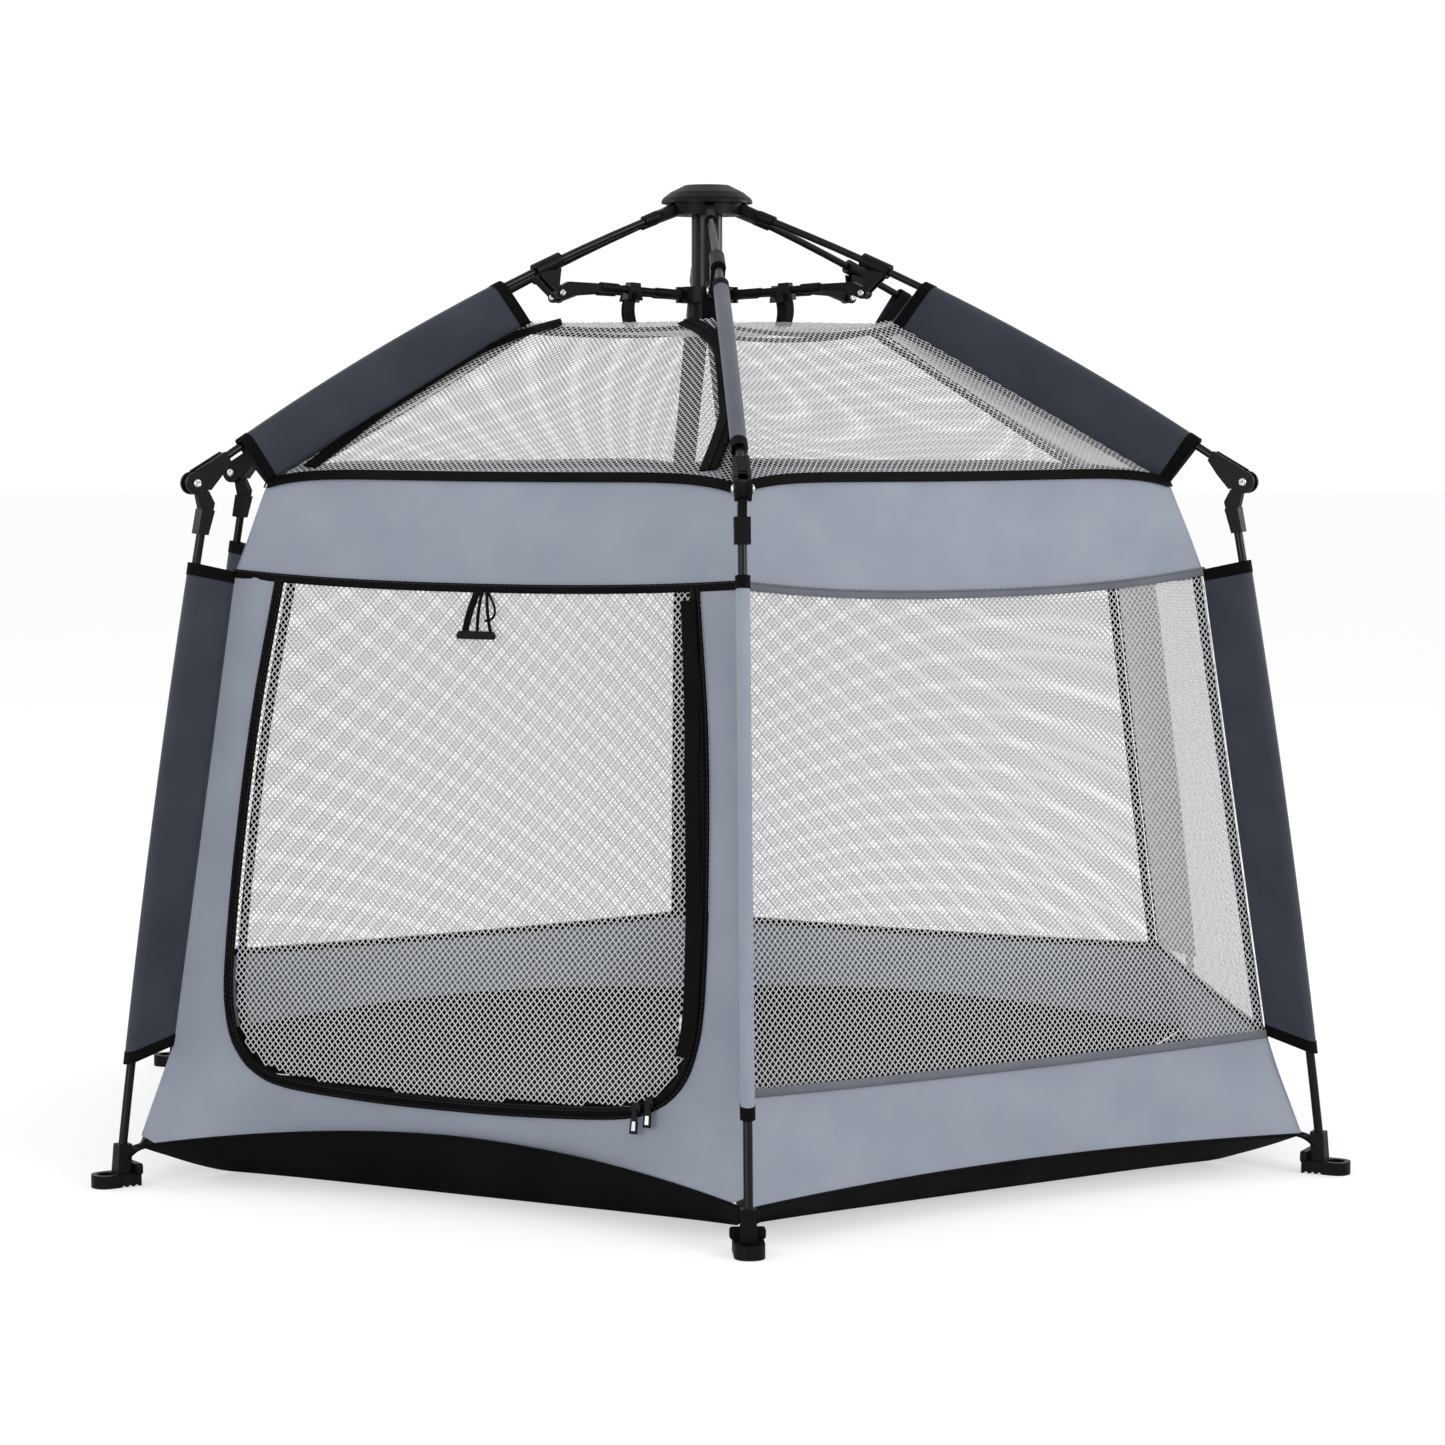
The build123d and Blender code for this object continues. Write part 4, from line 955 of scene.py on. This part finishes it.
thread_grey = cloth("grey_thread", (0.09, 0.10, 0.125), (0.12, 0.13, 0.155), (0.5, 0.6), 0.0003)


def stitches(name, path, thread, spacing=0.0055, length=0.0034, radius=0.00042):
    """A row of stitches along a path of points."""
    seed = bpy.data.objects.new(name, bpy.data.meshes.new(name))
    seed.data.from_pydata([tuple(p) for p in path], [(i, i + 1) for i in range(len(path) - 1)], [])
    scene.collection.objects.link(seed)
    return grown(seed, stitching, Spacing=spacing, Stitch_Length=length, Thread_Radius=radius, Thread=thread)


TAPE_SECTION = [(-0.5, -0.1), (-0.5, 0.3), (-0.42, 0.5), (0.42, 0.5), (0.5, 0.3), (0.5, -0.1), (0.42, -0.5),
                (-0.42, -0.5), (-0.5, -0.1)]


def tape(name, path, facing, width, thick, material):
    """A folded tape along a path: a flat ribbon with rounded edges and one facing."""
    path = np.asarray(path, float)
    along = np.gradient(path, axis=0)
    along /= np.linalg.norm(along, axis=1)[:, None]
    wide = np.cross(facing, along)
    wide /= np.linalg.norm(wide, axis=1)[:, None]
    face = np.cross(along, wide)
    rows = np.stack([path + wide * x * width + face * y * thick for x, y in TAPE_SECTION], 1)
    return mesh_piece(name, rows, grid_faces(len(path), len(TAPE_SECTION)), material, grid_uv(rows))


def cord_tube(name, path, radius, material, sides=8):
    """A thin round cord along a path of points."""
    path = np.asarray(path, float)
    along = np.gradient(path, axis=0)
    along /= np.linalg.norm(along, axis=1)[:, None]
    first = np.cross(along, (0.0, 0.0, 1.0))
    first /= np.maximum(np.linalg.norm(first, axis=1)[:, None], 1e-9)
    second = np.cross(along, first)
    round_angles = np.linspace(0, math.tau, sides + 1)
    rows = np.stack([path + radius * (first * math.cos(a) + second * math.sin(a)) for a in round_angles], 1)
    return mesh_piece(name, rows, grid_faces(len(path), sides + 1), material, grid_uv(rows))


def side_normal(side, up=0.0):
    """A direction out of a side, with a rise."""
    a = math.radians(60 * side + 30)
    return np.array([math.sin(a), -math.cos(a), up])


black_tapes, grey_tapes, grey_stitches, black_stitches = [], [], [], []
STITCH_LIFT, FROM_EDGE, INNER_THICK = 0.0011, 0.0028, 0.0008
UP = np.array([0.0, 0.0, 1.0])
for side in range(6):
    share = np.linspace(-0.995, 0.995, 61)
    outward, eave_facing, wall_facing, roof_facing = (side_normal(side, up) for up in (0, 0.45, 0.12, 1.9))
    out, z = eave_line(share)
    eave = on_side(side, share * EAVE[0] / 2, out + 0.0015, z)
    black_tapes.append(tape("eave", eave, eave_facing, 0.0105, 0.0018, black_tape))
    black_stitches.append(stitches("row", eave + STITCH_LIFT * outward - 0.0036 * UP, thread_black))
    path = on_side(side, share * WALL_TOP[0] / 2, WALL_TOP[0] * COS30 + 0.0012, band_foot(side, share) - 0.001)
    tapes, rows, finish, thread = ((black_tapes, black_stitches, black_tape, thread_black) if side == DOOR
                                   else (grey_tapes, grey_stitches, grey_tape, thread_grey))
    tapes.append(tape("foot", path, wall_facing, 0.0088, 0.0018, finish))
    rows.append(stitches("row", path + STITCH_LIFT * outward + FROM_EDGE * UP, thread))
    if side != DOOR:
        path = on_side(side, share * seam_r(BAND_TOP) / 2, seam_r(BAND_TOP) * COS30 + 0.0012,
                       BAND_TOP - 0.003 * (1 - share**2))
        grey_tapes.append(tape("band_top", path, wall_facing, 0.0085, 0.0018, grey_tape))
        grey_stitches.append(stitches("row", path + STITCH_LIFT * outward - FROM_EDGE * UP, thread_grey))
        black_tapes.append(tape("band_top_inside", path - 0.0034 * outward, wall_facing, 0.007, INNER_THICK,
                                black_tape))
        t = np.linspace(0, 1, 41)
        half = (WALL_FOOT[0] + (WALL_TOP[0] - WALL_FOOT[0]) * t) / 2
        for x in (-1, 1):
            path = on_side(side, x * (half - 0.008), half * 2 * COS30 - 0.0025, BAND_TOP + 0.472 * t)
            black_tapes.append(tape("window_edge", path, outward, 0.0105, INNER_THICK, black_tape))
    x = np.linspace(-0.99, 0.99, 31) * ROOF_TOP[0] / 2
    path = roof_points(side, x, np.full(31, 0.975)) - 0.0022 * UP
    black_tapes.append(tape("roof_top", path, roof_facing, 0.010, INNER_THICK, black_tape))
    # Black strips run behind the netting along both slopes of each roof panel. They are partly backing tape and
    # partly painted shade for the netting seen at a grazing angle near the seams.
    t = np.linspace(0.01, 0.99, 41)
    half = (EAVE[0] + (ROOF_TOP[0] - EAVE[0]) * t) / 2
    for x in (-1, 1):
        path = roof_points(side, x * (half - 0.009), t) - 0.0022 * UP
        black_tapes.append(tape("roof_edge", path, roof_facing, 0.012, INNER_THICK, black_tape))
    path = on_side(side, share * EAVE[0] / 2, out - 0.0022, z - 0.001)
    black_tapes.append(tape("eave_inside", path, eave_facing, 0.009, INNER_THICK, black_tape))
    black_tapes.append(cord_tube("hem_cord", on_side(side, *hem_line(side, 0.0008)), 0.0017, black_tape))
for name, parts, finish in (("black_bindings", black_tapes, "webbing"), ("grey_bindings", grey_tapes, "grey_cloth"),
                            ("black_stitches", black_stitches, "webbing"),
                            ("grey_stitches", grey_stitches, "grey_cloth")):
    gather(joined(name, parts), "tent_and_hub", sheet=False)

# ---- Door -------------------------------------------------------------------------------------
# The doorway is closed by its own netting panel on a zip. The zip's black tape runs down one side,
# under and up the other, with its teeth, two sliders and a cover near the front corner, and a
# backing strip behind the netting's edge. A toggle and loops at the top hold the rolled-up door.
door_path = smooth_line(DOOR_OUTLINE, 161)


door_outward = outward_2d(door_path, np.array([0.0, 0.36]))


def on_door(p, out=0.0):
    """Points of the doorway's wall from (along the side, height)."""
    p = np.asarray(p, float)
    return on_side(DOOR, p[..., 0], wall_out(p[..., 0], p[..., 1], DOOR) + out, p[..., 1])


net, p = knitted("door_net_cloth", 0.54, 0.515, 0.27, 0.27)
s, z = p[:, 0], p[:, 1] + 0.107 + 0.2565
left_edge = np.interp(z, [zz for _, zz in DOOR_OUTLINE[9::-1]], [ss for ss, _ in DOOR_OUTLINE[9::-1]])
right_edge = np.interp(z, [zz for _, zz in DOOR_OUTLINE[9:]], [ss for ss, _ in DOOR_OUTLINE[9:]])
low_z = np.interp(np.abs(s), [0, 0.188, 0.226, 0.2475, 0.2595, 0.265], [0.107, 0.115, 0.126, 0.144, 0.172, 0.22])
sag = 0.005 * np.sin(math.pi * np.clip((z - 0.107) / 0.5, 0, 1)) * (1 - np.clip(np.abs(s) / 0.27, 0, 1) ** 2)
put_points(net, on_side(DOOR, s, wall_out(s, z, DOOR) - sag + p[:, 2] - 0.0005, z))
keep_where(net, (s > left_edge) & (s < right_edge) & (z > low_z) & (z < band_foot(DOOR, s / 0.286) + 0.001))
gather(net, "door", ["door_net"])

door_facing = side_normal(DOOR)
backing = tape("door_backing", on_door(door_path - door_outward * 0.0062, -0.0035), door_facing,
               0.0105, INNER_THICK, black_tape)
gather(backing, "door", one_face=0.66)
cover = door_path[(door_path[:, 0] > 0.235) & (door_path[:, 1] > 0.16)]
cover_in = np.interp(cover[:, 1], [0.16, 0.25, 0.43, 0.607], [0.001, 0.003, 0.007, 0.001])
cover = cover - np.stack([cover_in, 0 * cover_in], -1)
zip_cover = tape("zip_cover", on_door(cover, 0.0035), door_facing, 0.0165, 0.0010, black_tape)
gather(zip_cover, "tent_and_hub", one_face=0.66)
zip_tape = tape("zip_tape", on_door(door_path + door_outward * 0.0052, 0.0016), door_facing,
                0.0112, 0.0016, black_tape)
gather(zip_tape, "tent_and_hub", ["door_zip_tape"], one_face=0.66)
rows = [stitches("row", on_door(door_path + door_outward * d, 0.0026), thread_black, 0.005, 0.003, 0.0004)
        for d in (0.0020, 0.0088)]
gather(joined("zip_stitches", rows), "tent_and_hub", sheet=False)
TOOTH = (0.0022, 0.0011, 0.0010)
teeth = stitches("zip_teeth", on_door(door_path + door_outward * 0.0045, 0.0030), black_nylon, *TOOTH)
gather(teeth, "tent_and_hub", sheet=False)


def rounded_slab(name, outline, thick, material, place, bevel=0.0006):
    """A small flat moulded or cast piece from its outline, with softened edges."""
    n = len(outline)
    points = [(x, y, 0.0) for x, y in outline] + [(x, y, thick) for x, y in outline]
    faces = [tuple(range(n))[::-1], tuple(range(n, 2 * n))]
    faces += [(i, (i + 1) % n, (i + 1) % n + n, i + n) for i in range(n)]
    piece = mesh_piece(name, points, faces, material, smooth=False)
    bm = bmesh.new()
    bm.from_mesh(piece.data)
    bmesh.ops.recalc_face_normals(bm, faces=bm.faces)
    bmesh.ops.bevel(bm, geom=list(bm.edges), offset=bevel, segments=2, affect="EDGES", profile=0.6)
    bm.transform(place)
    bm.to_mesh(piece.data)
    bm.free()
    return piece


def frame_at(origin, x_axis, z_axis):
    """A placing matrix from an origin, an x direction and a facing direction."""
    z = Vector(z_axis).normalized()
    x = (Vector(x_axis) - z * Vector(x_axis).dot(z)).normalized()
    y = z.cross(x)
    return Matrix(((x.x, y.x, z.x, origin[0]), (x.y, y.y, z.y, origin[1]), (x.z, y.z, z.z, origin[2]), (0, 0, 0, 1)))


ALONG_DOOR = on_side(DOOR, 1.0, 0, 0) - on_side(DOOR, 0.0, 0, 0)
SLIDER_BODY = [(-0.0042, -0.004), (0.0042, -0.004), (0.005, 0.002), (0.003, 0.0058), (-0.003, 0.0058),
               (-0.005, 0.002)]
SLIDER_THICK, FRONT_STRIP, DOOR_STRIP = 0.0042, 23, 22
for number, (s_pull, z_pull, z_end) in enumerate(((0.2125, 0.117, 0.093), (0.2265, 0.123, 0.100))):
    place = frame_at(on_door((s_pull, z_pull), 0.0035), ALONG_DOOR, side_normal(DOOR, 0.15))
    on_top = place @ Matrix.Translation((0, 0, SLIDER_THICK + 0.0002))
    body = rounded_slab(f"slider_body_{number}", SLIDER_BODY, SLIDER_THICK, black_nylon, place)
    long = z_pull - z_end
    pull_outline = [(-0.0022, 0.0), (0.0022, 0.0), (0.0040, -long * 0.55), (0.0044, -long), (-0.0044, -long),
                    (-0.0040, -long * 0.55)]
    pull = rounded_slab(f"slider_pull_{number}", pull_outline, 0.0016, black_nylon, on_top)
    inset = rounded_slab(f"slider_inset_{number}", [(-0.0018, -long * 0.5), (0.0018, -long * 0.5),
                         (0.0022, -long * 0.88), (-0.0022, -long * 0.88)], 0.0019, bright_steel, on_top, 0.0003)
    for piece in (body, pull, inset):
        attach(piece, "sliders")
        draw_in(piece)
    if number == 0:
        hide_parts("zip_sliders")

strand_runs = (((-0.010, 0.561), (0.002, 0.603), 0.0075), ((0.004, 0.562), (0.007, 0.603), 0.0035),
               ((0.019, 0.562), (0.012, 0.603), 0.0035))
strands = []
for start, end, width in strand_runs:
    t = np.linspace(0, 1, 12)
    path = np.stack(between(start, end, t), -1)
    strand = on_door(path, 0.003 + 0.0025 * np.sin(math.pi * t))
    strands.append(tape("strand", strand, door_facing, width, 0.0012, black_tape))
t = np.linspace(0, 1, 24)
loop_path = np.stack([0.012 + 0.011 * np.sin(math.pi * t), 0.603 - 0.030 * np.sin(math.pi * t * 0.5)], -1)
strands.append(cord_tube("loop", on_door(loop_path, 0.004), 0.0012, black_tape))
strap = joined("toggle_strap", strands)
BAR = [(-0.0205, -0.004), (0.0205, -0.004), (0.0215, 0.0), (0.019, 0.004), (-0.019, 0.004), (-0.0215, 0.0)]
bar = rounded_slab("toggle_bar", BAR, 0.005, black_nylon,
                   frame_at(on_door((0.0045, 0.559), 0.0035), ALONG_DOOR, door_facing), 0.001)
for piece, finish in ((strap, "webbing"), (bar, "black_plastic")):
    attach(piece, "door")
    draw_in(piece)
STRAP_LONG = 0.15
max(0.0101, 0.66 * area_of(strap) / STRAP_LONG)
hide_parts("toggle_tie")

# ---- Roof flap --------------------------------------------------------------------------------
# The roof panel over the door is a flap: its netting has a wide black zipped tape along both slopes
# and the top, and it turns out on its lower edge.
FLAP_HALF = [(0.227, 0.725), (0.204, 0.776), (0.188, 0.795), (0.162, 0.822), (0.136, 0.845), (0.100, 0.862),
             (0.073, 0.871)]
FLAP_FOOT_Z, roof_facing = 0.716, side_normal(DOOR, 1.9)
for x_sign, name in ((-1, "left"), (1, "right")):
    line = smooth_line([(x_sign * s, z) for s, z in FLAP_HALF], 61)
    t = np.clip((line[:, 1] - FLAP_FOOT_Z) / (ROOF_TOP[1] + 0.002 - FLAP_FOOT_Z), 0, 1)
    path = roof_points(DOOR, line[:, 0], t, 0.002)
    flap_tape = tape(f"flap_tape_{name}", path, roof_facing, 0.019, 0.0016, black_tape)
    gather(flap_tape, "flap", one_face=0.66)
    flap_teeth = stitches(f"flap_teeth_{name}", path + roof_facing / 2.1 * 0.0012, black_nylon, *TOOTH)
    gather(flap_teeth, "flap", sheet=False)

# ---- Top and foot straps ----------------------------------------------------------------------
# Flat webbing hangs the roof's top from clips on the struts, and ties the floor's corners to the
# feet.
STRAP_WIDE, STRAP_THICK = 0.021, 0.0022
top_pieces, foot_pieces = [], []
t = np.linspace(0, 1, 14)
bow = np.sin(math.pi * t)
for k in range(6):
    path = at_corner(k, 0.0, 0.096 + 0.0035 * bow, 0.9035 + (0.868 - 0.9035) * t)
    top_pieces.append(tape("hanger", path, at_corner(k, 0, 1.0, 0), STRAP_WIDE, STRAP_THICK, black_tape))
    path = at_corner(k, 0.0, 0.682 + (0.7 - 0.682) * t, 0.037 + (0.028 - 0.037) * t + 0.002 * bow)
    foot_pieces.append(tape("foot_tie", path, at_corner(k, 0, 0.45, 1.0), STRAP_WIDE, STRAP_THICK, black_tape))
top_straps, foot_straps = joined("top_strap_webbing", top_pieces), joined("foot_strap_webbing", foot_pieces)
gather(top_straps, "tent_and_hub", ["top_straps"], one_face=0.66)
gather(foot_straps, "tent_and_hub", ["foot_straps"], one_face=0.66)
